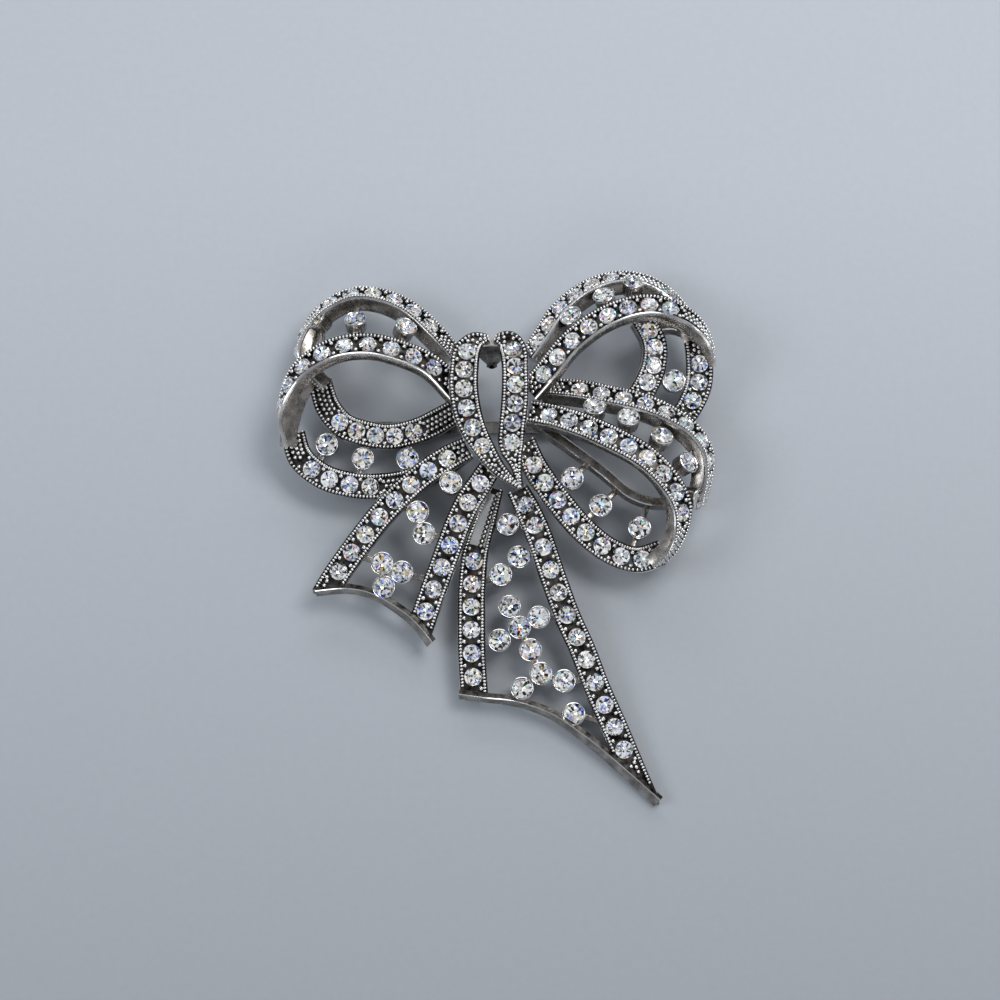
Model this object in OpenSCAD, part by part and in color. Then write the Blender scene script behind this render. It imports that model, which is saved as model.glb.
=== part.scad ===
/* [Ribbons] */
// Reach of the left loop from the middle of the knot
left_loop_len = 33; // [32.5:0.25:33.5]
// Reach of the upper right loop from the middle of the knot
right_upper_len = 32; // [31.5:0.25:32.5]
// Reach of the lower right loop from the middle of the knot
right_lower_len = 31; // [30.5:0.25:31.5]
// Length of the knot
knot_len = 22; // [21.5:0.25:22.5]
// Length of the left tail from the middle of the knot
left_tail_len = 32; // [31.5:0.25:32.5]
// Length of the right tail from the middle of the knot
right_tail_len = 55; // [54:0.5:56]
// Height of the top of the loops above the surface that the brooch lies on
bow_depth = 13; // [12.8:0.1:14]

/* [Rails] */
// Width of a rail set with stones
rail_w = 3.95; // [3.85:0.05:4.05]
// Thickness of a rail
rail_t = 2; // [1.8:0.1:2.1]
// Thickness of a rail at the back of a loop
back_rail_t = 2.5; // [2.2:0.1:2.7]
// Thickness of a rail of the knot
knot_rail_t = 2.7; // [2.4:0.1:2.8]
// Width of the raised edge along each side of a rail
edge_w = 0.55; // [0.45:0.05:0.6]
// Depth of the channel between the raised edges
channel_drop = 0.5; // [0.4:0.05:0.6]
// Width of the polished rim at the end of a tail
rim_w = 0.9; // [0.8:0.1:1.2]
// Width of a plain wall inside a loop or the knot
wall_w = 1.4; // [1.2:0.1:1.6]
// Width of a bar between a cup and its neighbour
link_w = 0.9; // [0.7:0.1:1.1]
// Thickness of a bar between a cup and its neighbour
link_t = 0.9; // [0.7:0.1:1]

/* [Stones] */
// Width of a rail stone
stone_d = 2.55; // [2.4:0.05:2.6]
// Height of a rail stone
stone_h = 1; // [0.9:0.1:1.2]
// Outer width of a round cup
cup_d = 3.4; // [3.2:0.1:3.5]
// Height of a round cup
cup_h = 2.2; // [2:0.1:2.4]
// Wall of a round cup
cup_wall = 0.25; // [0.2:0.05:0.3]
// Depth of the seat in a cup
cup_seat = 0.6; // [0.5:0.05:0.8]
// Height of a cup stone
cup_stone_h = 1.3; // [1.1:0.1:1.5]
// Clearance between a stone and its setting
stone_gap = 0.1; // [0.08:0.01:0.12]

/* [Pin] */
// Length of the back bar
bar_len = 35; // [34:0.5:36]
// Width of the back bar and of its two feet
bar_w = 1.8; // [1.6:0.1:2]
// Thickness of the back bar
bar_t = 0.8; // [0.7:0.05:0.9]
// Diameter of the pin stem
stem_d = 0.9; // [0.8:0.05:1]
// Length of a foot along the bar
foot_len = 4; // [3:0.5:5]
// Clearance between the bar and the castings above it
seat_gap = 0.1; // [0.1:0.05:0.2]

/* [Hidden] */
// Share of the bow's depth at which the return halves of the loops lie, and their turn to the viewer
base = 0.375;
base_turn = 8;
// Place of the back bar: left of the knot's middle, above it, and its top under the left loop
bar_shift = bar_len * 0.13;
bar_up = knot_len * 0.03;
bar_top = base * bow_depth - rail_t - rail_w / 2 * sin(base_turn) - seat_gap;
// Rings of a rail for each length of one rail width
rings_per_width = 1.25;
// Step along a route that gives its direction
step = 0.01;
// Share of a cup's height at which the bars beside it lie
link_share = 0.55;
// Sides of a cup, and of a cut stone and its seat
cup_sides = 10;
stone_sides = 8;
// Share of a stone's width that its table has
table_share = 0.6;

// Rows of a route: x and y as shares of the ribbon's length, z as a share of the bow's depth,
// the turn of the face from straight up in degrees, and the width as a share of the rail's.
// Where a rail is narrower than its full width it is thinner too.
LEFT_TOP_FRONT = [
    [-0.190, 0.125, 0.64, 20, 1], [-0.310, 0.230, 0.845, 20, 1], [-0.445, 0.282, 0.97, 18, 1],
    [-0.600, 0.315, 1.00, 18, 1], [-0.760, 0.298, 0.97, 22, 1], [-0.903, 0.222, 0.88, 35, 1],
    [-0.978, 0.125, 0.73, 60, 1], [-1.005, 0.010, 0.57, 85, 1], [-0.980, -0.095, 0.44, 95, 1],
];
LEFT_TOP_BACK = [
    [-0.200, 0.325, 0.50, 45, 0.9], [-0.305, 0.447, 0.54, 45, 1], [-0.425, 0.555, 0.555, 45, 1],
    [-0.560, 0.615, 0.555, 45, 1], [-0.695, 0.622, 0.54, 48, 1], [-0.818, 0.563, 0.50, 55, 1],
    [-0.905, 0.460, 0.46, 70, 1], [-0.935, 0.340, 0.425, 85, 1], [-0.890, 0.240, 0.40, 95, 0.9],
    [-0.815, 0.170, 0.38, 95, 0.8],
];
LEFT_BASE_FRONT = [
    [-0.945, -0.035, 0.41, 0, 0.9], [-0.912, -0.145, 0.39, 4, 1], [-0.815, -0.230, 0.38, 8, 1],
    [-0.695, -0.270, base, 8, 1], [-0.560, -0.280, base, 8, 1], [-0.410, -0.255, 0.38, 8, 1],
    [-0.265, -0.180, 0.395, 6, 1], [-0.160, -0.105, 0.41, 4, 0.9],
];
LEFT_BASE_BACK = [
    [-0.828, 0.215, 0.41, 0, 0.9], [-0.795, 0.100, 0.38, 6, 1], [-0.722, 0.010, base, 8, 1],
    [-0.620, -0.030, base, 8, 1], [-0.510, -0.045, base, 8, 1], [-0.390, -0.020, 0.38, 8, 1],
    [-0.285, 0.030, 0.39, 6, 1], [-0.175, 0.100, 0.40, 4, 0.9],
];
LEFT_END_WALL = [
    [-0.845, 0.235, 0.47, -40, 1], [-0.897, 0.150, 0.47, -40, 1], [-0.930, 0.060, 0.46, -40, 1],
    [-0.950, -0.030, 0.44, -40, 1], [-0.955, -0.100, 0.42, -40, 1],
];
UPPER_TOP_FRONT = [
    [0.120, 0.140, 0.66, -20, 1], [0.210, 0.230, 0.80, -20, 1], [0.313, 0.345, 0.91, -18, 1],
    [0.455, 0.450, 0.975, -18, 1], [0.610, 0.510, 1.00, -20, 1], [0.745, 0.515, 0.975, -25, 1],
    [0.880, 0.465, 0.90, -40, 1], [0.968, 0.375, 0.78, -65, 0.9], [0.996, 0.275, 0.61, -85, 0.5],
];
UPPER_TOP_BACK = [
    [0.115, 0.335, 0.50, -45, 0.9], [0.187, 0.444, 0.54, -45, 1], [0.268, 0.566, 0.555, -45, 1],
    [0.395, 0.671, 0.555, -45, 1], [0.537, 0.722, 0.555, -46, 1], [0.678, 0.708, 0.555, -50, 1],
    [0.797, 0.635, 0.555, -55, 1], [0.887, 0.520, 0.54, -65, 1], [0.930, 0.410, 0.525, -80, 1],
];
UPPER_END_WALL = [
    [0.915, 0.440, 0.50, 0, 1], [0.805, 0.485, 0.51, 0, 1], [0.685, 0.470, 0.495, 0, 1],
];
UPPER_BASE_FRONT = [
    [0.917, 0.420, 0.555, 0, 1.05], [0.926, 0.300, 0.53, 0, 1.05], [0.918, 0.185, 0.517, 0, 1.05],
    [0.873, 0.080, 0.50, 0, 1], [0.810, 0.000, 0.48, 0, 1],
];
UPPER_BASE_BACK = [
    [0.665, 0.505, 0.565, -15, 1], [0.716, 0.395, 0.545, -15, 1], [0.712, 0.285, 0.525, -15, 1],
    [0.677, 0.195, 0.50, -15, 1], [0.625, 0.110, 0.48, -15, 1],
];
LOWER_TOP_FRONT = [
    [0.125, 0.045, 0.66, -15, 1], [0.245, 0.008, 0.77, -15, 1], [0.385, -0.052, 0.87, -12, 1],
    [0.528, -0.128, 0.94, -10, 1], [0.669, -0.215, 0.975, -12, 1], [0.777, -0.322, 0.955, -20, 1],
    [0.845, -0.435, 0.87, -35, 1], [0.850, -0.545, 0.755, -60, 1], [0.812, -0.637, 0.60, -80, 1],
    [0.745, -0.695, 0.44, -90, 1],
];
LOWER_TOP_BACK = [
    [0.200, 0.195, 0.47, -30, 0.9], [0.365, 0.170, 0.58, -30, 1], [0.510, 0.130, 0.66, -30, 1],
    [0.650, 0.090, 0.72, -32, 1], [0.792, 0.027, 0.755, -38, 1], [0.915, -0.055, 0.73, -48, 1],
    [0.985, -0.160, 0.67, -60, 1], [0.990, -0.275, 0.58, -75, 1], [0.960, -0.400, 0.48, -85, 1],
];
LOWER_BASE_FRONT = [
    [0.110, -0.095, 0.58, 5, 0.8], [0.160, -0.235, 0.60, 5, 0.97], [0.265, -0.385, 0.555, 5, 1],
    [0.385, -0.525, 0.495, 5, 1], [0.510, -0.620, 0.43, 5, 1], [0.640, -0.660, 0.39, 5, 1],
    [0.760, -0.625, 0.39, 0, 1],
];
LOWER_BASE_BACK = [
    [0.160, 0.010, 0.54, 0, 1], [0.345, -0.125, 0.50, 0, 1], [0.490, -0.235, 0.46, 0, 1],
    [0.610, -0.335, 0.425, 0, 1], [0.730, -0.375, 0.40, 0, 1], [0.840, -0.365, 0.41, 0, 1],
    [0.945, -0.370, 0.44, 0, 1],
];
KNOT_LEFT = [
    [-0.095, 0.545, 0.84, 0, 0.35], [-0.180, 0.515, 0.89, 0, 0.75], [-0.238, 0.430, 0.94, 0, 1.03],
    [-0.255, 0.300, 0.975, 0, 1.09], [-0.257, 0.163, 0.985, 0, 1.10], [-0.236, 0.018, 0.97, 0, 1.08],
    [-0.194, -0.110, 0.945, 0, 0.99], [-0.128, -0.230, 0.90, 0, 0.84], [-0.028, -0.370, 0.85, 0, 0.58],
    [0.109, -0.490, 0.80, 0, 0.25],
];
KNOT_RIGHT = [
    [-0.045, 0.545, 0.84, 0, 0.35], [0.035, 0.515, 0.89, 0, 0.9], [0.078, 0.430, 0.94, 0, 1.05],
    [0.087, 0.300, 0.975, 0, 1], [0.088, 0.163, 0.985, 0, 1.02], [0.081, 0.026, 0.97, 0, 1.02],
    [0.066, -0.108, 0.94, 0, 1], [0.062, -0.230, 0.895, 0, 0.95], [0.094, -0.356, 0.85, 0, 0.46],
    [0.118, -0.490, 0.80, 0, 0.25],
];
KNOT_END_WALL = [
    [-0.215, 0.510, 0.74, -14, 1], [-0.145, 0.520, 0.80, -14, 1], [-0.070, 0.522, 0.82, -14, 1],
    [0.005, 0.520, 0.80, -14, 1], [0.075, 0.510, 0.74, -14, 1],
];
LEFT_TAIL_LEFT = [
    [-0.158, -0.130, 0.62, 0, 0.9], [-0.252, -0.180, 0.62, 0, 1], [-0.345, -0.242, 0.61, 0, 1],
    [-0.445, -0.327, 0.59, 0, 1], [-0.551, -0.436, 0.555, 0, 1], [-0.651, -0.561, 0.50, 0, 1],
    [-0.746, -0.691, 0.44, 0, 1], [-0.800, -0.776, 0.40, 0, 1], [-0.852, -0.865, 0.36, 0, 1],
];
LEFT_TAIL_RIGHT = [
    [-0.050, -0.213, 0.60, 0, 0.85], [-0.100, -0.300, 0.62, 0, 0.95], [-0.155, -0.388, 0.62, 0, 1],
    [-0.202, -0.488, 0.60, 0, 1],
    [-0.243, -0.597, 0.555, 0, 1], [-0.285, -0.707, 0.485, 0, 1], [-0.326, -0.816, 0.43, 0, 1],
    [-0.362, -0.920, 0.38, 0, 1], [-0.400, -1.025, 0.34, 0, 1],
];
LEFT_TAIL_RIM = [
    [-0.860, -0.775, 0.385, -10, 1], [-0.710, -0.765, 0.40, -10, 1], [-0.580, -0.795, 0.40, -12, 1],
    [-0.440, -0.880, 0.385, -16, 1], [-0.365, -0.950, 0.36, -20, 1], [-0.312, -1.015, 0.34, -25, 1],
];
RIGHT_TAIL_LEFT = [
    [-0.019, -0.176, 0.42, 0, 0.65], [-0.046, -0.262, 0.40, 0, 0.85], [-0.072, -0.350, 0.355, 0, 1],
    [-0.081, -0.442, 0.346, 0, 1.04], [-0.082, -0.530, 0.36, 0, 1.04], [-0.081, -0.620, 0.33, 0, 1.04],
    [-0.076, -0.705, 0.285, 0, 1.04], [-0.072, -0.770, 0.26, 0, 1.04],
];
RIGHT_TAIL_RIGHT = [
    [0.042, -0.180, 0.43, 0, 0.85], [0.063, -0.225, 0.46, 0, 0.95], [0.090, -0.290, 0.49, 0, 1],
    [0.110, -0.345, 0.49, 0, 1],
    [0.138, -0.430, 0.455, 0, 1], [0.173, -0.526, 0.41, 0, 1], [0.213, -0.615, 0.36, 0, 1],
    [0.253, -0.719, 0.30, 0, 1], [0.297, -0.818, 0.24, 0, 1], [0.340, -0.922, 0.205, 0, 1],
    [0.386, -1.032, 0.185, 0, 1],
];
RIGHT_TAIL_RIM = [
    [-0.114, -0.725, 0.27, -10, 1], [-0.045, -0.735, 0.275, -10, 1], [0.040, -0.745, 0.27, -12, 1],
    [0.132, -0.777, 0.255, -15, 1], [0.208, -0.826, 0.235, -18, 1], [0.270, -0.874, 0.215, -22, 1],
    [0.353, -0.946, 0.19, -26, 1], [0.420, -1.006, 0.17, -30, 1],
];

// Rows of a cup: its place along the first rail and along the second, its share of the way
// from the first to the second, and whether a bar joins it to the first and to the second.
LEFT_TOP_CUPS = [[0.245, 0.225, 0.56, 1, 1], [0.425, 0.42, 0.48, 1, 1], [0.55, 0.595, 0.84, 1, 1]];
LEFT_BASE_CUPS = [[0.235, 0.255, 0.53, 1, 1], [0.455, 0.465, 0.53, 1, 1], [0.685, 0.685, 0.48, 1, 1]];
UPPER_TOP_CUPS = [
    [0.295, 0.275, 0.58, 1, 1], [0.405, 0.435, 0.57, 1, 1], [0.535, 0.565, 0.78, 1, 1],
    [0.63, 0.745, 0.90, 1, 1],
];
UPPER_BASE_CUPS = [[0.455, 0.69, 0.50, 1, 1]];
LOWER_TOP_CUPS = [
    [0.235, 0.215, 0.59, 1, 1], [0.353, 0.363, 0.58, 1, 1], [0.47, 0.52, 0.53, 1, 1],
    [0.59, 0.69, 0.52, 1, 1], [0.74, 0.91, 0.60, 1, 1],
];
LOWER_BASE_CUPS = [[0.31, 0.25, 0.50, 1, 1], [0.475, 0.44, 0.52, 1, 1], [0.785, 0.63, 0.53, 1, 1]];
LEFT_TAIL_CUPS = [
    [0.24, 0.205, 0.50, 1, 1], [0.44, 0.405, 0.39, 1, 0], [0.57, 0.445, 0.65, 0, 1],
    [0.675, 0.68, 0.36, 1, 0], [0.695, 0.675, 0.61, 0, 1], [0.755, 0.79, 0.50, 0, 0],
];
RIGHT_TAIL_CUPS = [
    [0.19, 0.16, 0.52, 1, 1], [0.365, 0.305, 0.65, 0, 1], [0.415, 0.345, 0.38, 1, 0],
    [0.55, 0.45, 0.43, 0, 0], [0.605, 0.495, 0.71, 0, 1], [0.64, 0.515, 0.49, 0, 0],
    [0.68, 0.55, 0.27, 1, 0], [0.73, 0.59, 0.54, 0, 0], [0.84, 0.65, 0.58, 0, 0],
    [0.875, 0.675, 0.755, 0, 1], [0.895, 0.688, 0.395, 0, 0], [0.895, 0.79, 0.72, 0, 1],
];
// Cups of one tail that a bar joins to each other, by their place in its list
LEFT_TAIL_PAIRS = [[1, 2], [3, 4], [3, 5], [4, 5]];
RIGHT_TAIL_PAIRS = [[1, 2], [3, 5], [4, 5], [5, 6], [5, 7], [7, 8], [8, 9], [8, 10]];

// Points and directions along a route
function sized(rows, size) = [for (r = rows) [r[0] * size, r[1] * size, r[2] * bow_depth, r[3], r[4]]];
function blend(a, b, c, d, f) =
    0.5 * (2 * b + (c - a) * f + (2 * a - 5 * b + 4 * c - d) * f * f + (3 * b - a - 3 * c + d) * f * f * f);
function row_at(rows, t) =
    let (n = len(rows) - 1, s = t * n, i = max(0, min(floor(s), n - 1)))
    blend(rows[max(i - 1, 0)], rows[i], rows[i + 1], rows[min(i + 2, n)], s - i);
function spot(row) = [row[0], row[1], row[2]];
function unit(v) = v / norm(v);
function heading(rows, t) =
    unit(spot(row_at(rows, min(t + step, 1))) - spot(row_at(rows, max(t - step, 0))));
function facing(rows, t) =
    let (ahead = heading(rows, t), up = unit([0, 0, 1] - ahead * ahead[2]), turn = row_at(rows, t)[3])
    up * cos(turn) + cross(ahead, up) * sin(turn);
function route_spots(rows, count) = [for (k = [0:count]) spot(row_at(rows, k / count))];
function running(points) =
    [for (k = 0, s = 0; k < len(points);
        s = s + (k + 1 < len(points) ? norm(points[k + 1] - points[k]) : 0), k = k + 1) s];
function route_length(rows) = let (s = running(route_spots(rows, 40))) s[len(s) - 1];
function even_places(rows, first, last, count) =
    let (marks = running(route_spots(rows, 60)),
        table = [for (k = [0:len(marks) - 1]) [marks[k], k / (len(marks) - 1)]],
        whole = marks[len(marks) - 1])
    [for (i = [0:count - 1]) lookup(whole * (first + (last - first) * i / (count - 1)), table)];

// Cross-sections of a rail and of a plain strip, from the left edge round to the left underside
function channel_outline(w, t) = [
    [-w / 2, 0], [-w / 2 + edge_w, 0], [-w / 2 + edge_w, -channel_drop], [w / 2 - edge_w, -channel_drop],
    [w / 2 - edge_w, 0], [w / 2, 0], [w / 2, -t], [-w / 2, -t],
];
CHANNEL_CAP = [[7, 0, 1, 2], [7, 2, 3, 6], [6, 3, 4, 5]];
function strip_outline(w, t) = [[-w / 2, 0], [w / 2, 0], [w / 2, -t], [-w / 2, -t]];
STRIP_CAP = [[0, 1, 2, 3]];
function ring(rows, t, outline) =
    let (centre = spot(row_at(rows, t)), normal = facing(rows, t), across = cross(normal, heading(rows, t)))
    [for (p = outline) centre + across * p[0] + normal * p[1]];

// A solid swept through a list of rings, closed at both ends by the faces of the cap
module sweep(rings, cap) {
    n = len(rings[0]);
    last = len(rings) - 1;
    polyhedron(
        points = [for (r = rings) each r],
        faces = concat(
            [for (f = cap) [for (i = [len(f) - 1:-1:0]) f[i]]],
            [for (k = [0:last - 1], i = [0:n - 1])
                [k * n + i, k * n + (i + 1) % n, (k + 1) * n + (i + 1) % n, (k + 1) * n + i]],
            [for (f = cap) [for (i = f) last * n + i]]
        ),
        convexity = 6
    );
}

module rail(rows, thick) {
    sweep(rail_rings(rows, thick), CHANNEL_CAP);
}

module strip(rows, width, thick) {
    sweep(strip_rings(rows, width, thick), STRIP_CAP);
}

function ring_count(rows) = max(2, round(route_length(rows) / rail_w * rings_per_width));
function rail_rings(rows, thick) =
    let (count = ring_count(rows))
    [for (k = [0:count])
        let (share = row_at(rows, k / count)[4])
        ring(rows, k / count, channel_outline(rail_w * share, thick * min(1, share)))];
function strip_rings(rows, width, thick) =
    let (count = ring_count(rows))
    [for (k = [0:count]) ring(rows, k / count, strip_outline(width, thick))];

// Puts a shape that stands on the XY plane onto a place of its own direction
module stand(place) {
    side = place[1];
    ahead = cross(place[2], side);
    up = place[2];
    at = place[0];
    multmatrix([
        [side[0], ahead[0], up[0], at[0]],
        [side[1], ahead[1], up[1], at[1]],
        [side[2], ahead[2], up[2], at[2]],
        [0, 0, 0, 1],
    ]) children();
}

// A place is a point, a direction along the ribbon and the direction that the face looks
function rail_place(rows, t) = [spot(row_at(rows, t)), heading(rows, t), facing(rows, t)];
function chord_place(rows, t) =
    let (n = ring_count(rows), i = min(floor(t * n), n - 1), f = t * n - i,
        a = rail_place(rows, i / n), b = rail_place(rows, (i + 1) / n),
        ahead = unit(b[0] - a[0]),
        up = a[2] * (1 - f) + b[2] * f)
    [a[0] * (1 - f) + b[0] * f, ahead, unit(up - ahead * (ahead * up))];
function cup_place(first, second, cup) =
    let (a = rail_place(first, cup[0]), b = rail_place(second, cup[1]), s = cup[2],
        up = unit(a[2] * (1 - s) + b[2] * s),
        along = a[1] * (1 - s) + b[1] * s)
    [a[0] * (1 - s) + b[0] * s, unit(along - up * (along * up)), up];

function low_spot(place) = place[0] - place[2] * cup_h * link_share;

// Solid of a cup with its seat still closed
module cup_body() {
    translate([0, 0, -cup_h]) cylinder(h = cup_h, d = cup_d, $fn = cup_sides);
}

module cup_seat_cut() {
    translate([0, 0, -cup_seat]) cylinder(h = cup_h, d = cup_d - 2 * cup_wall, $fn = stone_sides);
}

// What lies beyond a tail's rim, where the tail's rails are cut off
module beyond(rim) {
    count = ring_count(rim);
    out = rail_w * 2;
    section = [[-out, rail_t], [0, rail_t], [0, -2 * rail_t], [-out, -2 * rail_t]];
    sweep([for (k = [0:count]) ring(rim, k / count, section)], STRIP_CAP);
}

// A bar between two points, flat to the face of the ribbon
module link(a, b, face) {
    ahead = unit(b - a);
    up = unit(face - ahead * (ahead * face));
    stand([(a + b) / 2, ahead, up]) cube([norm(b - a), link_w, link_t], center = true);
}

// The cups of a ribbon with the bars that join them to its rails and to each other
module cups(first, second, list, pairs) {
    for (c = list) {
        place = cup_place(first, second, c);
        stand(place) cup_body();
        if (c[3] == 1) link(low_spot(place), low_spot(rail_place(first, c[0])), place[2]);
        if (c[4] == 1) link(low_spot(place), low_spot(rail_place(second, c[1])), place[2]);
    }
    for (p = pairs) {
        one = cup_place(first, second, list[p[0]]);
        two = cup_place(first, second, list[p[1]]);
        link(low_spot(one), low_spot(two), one[2]);
    }
}

module cup_seats(first, second, list) {
    for (c = list) stand(cup_place(first, second, c)) cup_seat_cut();
}

// A cut stone with a flat back and eight facets round its table
module stone(width, height) {
    cylinder(h = height, d1 = width, d2 = width * table_share, $fn = stone_sides);
}

// Stones in a row in a rail's channel, from one share of its length to another
module rail_stones(rows, first, last, count) {
    for (t = even_places(rows, first, last, count)) {
        room = rail_w * row_at(rows, t)[4] - 2 * edge_w - 2 * stone_gap;
        stand(chord_place(rows, t))
            translate([0, 0, stone_gap - channel_drop])
                stone(min(stone_d, room), stone_h);
    }
}

// The ribbons' routes at their real sizes
left_top_front = sized(LEFT_TOP_FRONT, left_loop_len);
left_top_back = sized(LEFT_TOP_BACK, left_loop_len);
left_base_front = sized(LEFT_BASE_FRONT, left_loop_len);
left_base_back = sized(LEFT_BASE_BACK, left_loop_len);
left_end_wall = sized(LEFT_END_WALL, left_loop_len);
upper_top_front = sized(UPPER_TOP_FRONT, right_upper_len);
upper_top_back = sized(UPPER_TOP_BACK, right_upper_len);
upper_end_wall = sized(UPPER_END_WALL, right_upper_len);
upper_base_front = sized(UPPER_BASE_FRONT, right_upper_len);
upper_base_back = sized(UPPER_BASE_BACK, right_upper_len);
lower_top_front = sized(LOWER_TOP_FRONT, right_lower_len);
lower_top_back = sized(LOWER_TOP_BACK, right_lower_len);
lower_base_front = sized(LOWER_BASE_FRONT, right_lower_len);
lower_base_back = sized(LOWER_BASE_BACK, right_lower_len);
knot_left = sized(KNOT_LEFT, knot_len);
knot_right = sized(KNOT_RIGHT, knot_len);
knot_end_wall = sized(KNOT_END_WALL, knot_len);
left_tail_left = sized(LEFT_TAIL_LEFT, left_tail_len);
left_tail_right = sized(LEFT_TAIL_RIGHT, left_tail_len);
left_tail_rim = sized(LEFT_TAIL_RIM, left_tail_len);
right_tail_left = sized(RIGHT_TAIL_LEFT, right_tail_len);
right_tail_right = sized(RIGHT_TAIL_RIGHT, right_tail_len);
right_tail_rim = sized(RIGHT_TAIL_RIM, right_tail_len);

// Every cup with the two rails that it stands between, in the order of the cup stones' names
RIBBONS = [
    [left_top_front, left_top_back, LEFT_TOP_CUPS],
    [left_base_front, left_base_back, LEFT_BASE_CUPS],
    [upper_top_front, upper_top_back, UPPER_TOP_CUPS],
    [upper_base_front, upper_base_back, UPPER_BASE_CUPS],
    [lower_top_front, lower_top_back, LOWER_TOP_CUPS],
    [lower_base_front, lower_base_back, LOWER_BASE_CUPS],
    [left_tail_left, left_tail_right, LEFT_TAIL_CUPS],
    [right_tail_left, right_tail_right, RIGHT_TAIL_CUPS],
];
CUP_PLACES = [for (r = RIBBONS, c = r[2]) cup_place(r[0], r[1], c)];
function cup_stone_name(i) = str("cup_stone_", i + 1);

// Box of the whole bow, so that it lies on the floor about its own middle
OUTER_RINGS = concat(
    rail_rings(left_top_front, rail_t), rail_rings(upper_top_front, rail_t),
    rail_rings(upper_base_front, rail_t), rail_rings(upper_top_back, back_rail_t),
    strip_rings(right_tail_rim, rim_w, rail_t)
);
function reach(axis) = [for (r = OUTER_RINGS, p = r) p[axis]];
middle_x = (min(reach(0)) + max(reach(0))) / 2;
middle_y = (min(reach(1)) + max(reach(1))) / 2;
floor_z = min(reach(2));

module placed() {
    translate([-middle_x, -middle_y, -floor_z]) children();
}

module left_loop() {
    color("silver") placed() difference() {
        union() {
            rail(left_top_front, rail_t);
            rail(left_top_back, back_rail_t);
            rail(left_base_front, rail_t);
            rail(left_base_back, rail_t);
            strip(left_end_wall, 2 * wall_w, back_rail_t);
            cups(left_top_front, left_top_back, LEFT_TOP_CUPS, []);
            cups(left_base_front, left_base_back, LEFT_BASE_CUPS, []);
        }
        cup_seats(left_top_front, left_top_back, LEFT_TOP_CUPS);
        cup_seats(left_base_front, left_base_back, LEFT_BASE_CUPS);
    }
}

module right_upper_loop() {
    color("silver") placed() difference() {
        union() {
            rail(upper_top_front, rail_t);
            rail(upper_top_back, back_rail_t);
            strip(upper_end_wall, wall_w, back_rail_t);
            rail(upper_base_front, rail_t);
            rail(upper_base_back, rail_t);
            cups(upper_top_front, upper_top_back, UPPER_TOP_CUPS, []);
            cups(upper_base_front, upper_base_back, UPPER_BASE_CUPS, []);
        }
        cup_seats(upper_top_front, upper_top_back, UPPER_TOP_CUPS);
        cup_seats(upper_base_front, upper_base_back, UPPER_BASE_CUPS);
    }
}

module right_lower_loop() {
    color("silver") placed() difference() {
        union() {
            rail(lower_top_front, rail_t);
            rail(lower_top_back, back_rail_t);
            rail(lower_base_front, rail_t);
            strip(lower_base_back, wall_w, back_rail_t);
            cups(lower_top_front, lower_top_back, LOWER_TOP_CUPS, []);
            cups(lower_base_front, lower_base_back, LOWER_BASE_CUPS, []);
        }
        cup_seats(lower_top_front, lower_top_back, LOWER_TOP_CUPS);
        cup_seats(lower_base_front, lower_base_back, LOWER_BASE_CUPS);
    }
}

module knot() {
    color("silver") placed() {
        rail(knot_left, knot_rail_t);
        rail(knot_right, knot_rail_t);
        strip(knot_end_wall, wall_w, bow_depth / 2);
    }
}

module left_tail() {
    color("silver") placed() difference() {
        union() {
            difference() {
                union() {
                    rail(left_tail_left, rail_t);
                    rail(left_tail_right, rail_t);
                }
                beyond(left_tail_rim);
            }
            strip(left_tail_rim, rim_w, rail_t);
            cups(left_tail_left, left_tail_right, LEFT_TAIL_CUPS, LEFT_TAIL_PAIRS);
        }
        cup_seats(left_tail_left, left_tail_right, LEFT_TAIL_CUPS);
    }
}

module right_tail() {
    color("silver") placed() difference() {
        union() {
            difference() {
                union() {
                    rail(right_tail_left, rail_t);
                    rail(right_tail_right, rail_t);
                }
                beyond(right_tail_rim);
            }
            strip(right_tail_rim, rim_w, rail_t);
            cups(right_tail_left, right_tail_right, RIGHT_TAIL_CUPS, RIGHT_TAIL_PAIRS);
        }
        cup_seats(right_tail_left, right_tail_right, RIGHT_TAIL_CUPS);
    }
}

// Bar across the back with a hinge foot and a catch foot that hold the closed pin stem
module pin_back() {
    underside = bar_top - bar_t - floor_z;
    stem_z = underside / 2;
    foot_from_middle = (bar_len - foot_len) / 2;
    color("darkgray") translate([-bar_shift - middle_x, bar_up - middle_y, 0]) {
        translate([-bar_len / 2, -bar_w / 2, underside]) cube([bar_len, bar_w, bar_t]);
        for (side = [-1, 1])
            translate([side * foot_from_middle - foot_len / 2, -bar_w / 2, 0])
                cube([foot_len, bar_w, underside + bar_t / 2]);
        translate([-foot_from_middle, 0, stem_z])
            rotate([0, 90, 0]) cylinder(h = 2 * foot_from_middle, d = stem_d, $fn = 32);
    }
}

module left_loop_stones() {
    color("white") placed() {
        rail_stones(left_top_front, 0.14, 0.85, 9);
        rail_stones(left_top_back, 0.155, 0.583, 6);
        rail_stones(left_top_back, 0.745, 0.82, 2);
        rail_stones(left_base_front, 0.20, 0.497, 4);
        rail_stones(left_base_back, 0.262, 0.688, 5);
    }
}

module right_upper_loop_stones() {
    color("white") placed() {
        rail_stones(upper_top_front, 0.09, 0.69, 8);
        rail_stones(upper_top_back, 0.075, 0.50, 6);
        rail_stones(upper_base_front, 0.285, 0.69, 3);
        rail_stones(upper_base_back, 0.14, 0.745, 4);
    }
}

module right_lower_loop_stones() {
    color("white") placed() {
        rail_stones(lower_top_front, 0.085, 0.76, 9);
        rail_stones(lower_top_back, 0.155, 0.82, 8);
        rail_stones(lower_base_front, 0.135, 0.895, 8);
    }
}

module knot_stones() {
    color("white") placed() {
        rail_stones(knot_left, 0.159, 0.708, 6);
        rail_stones(knot_right, 0.15, 0.735, 6);
    }
}

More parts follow.
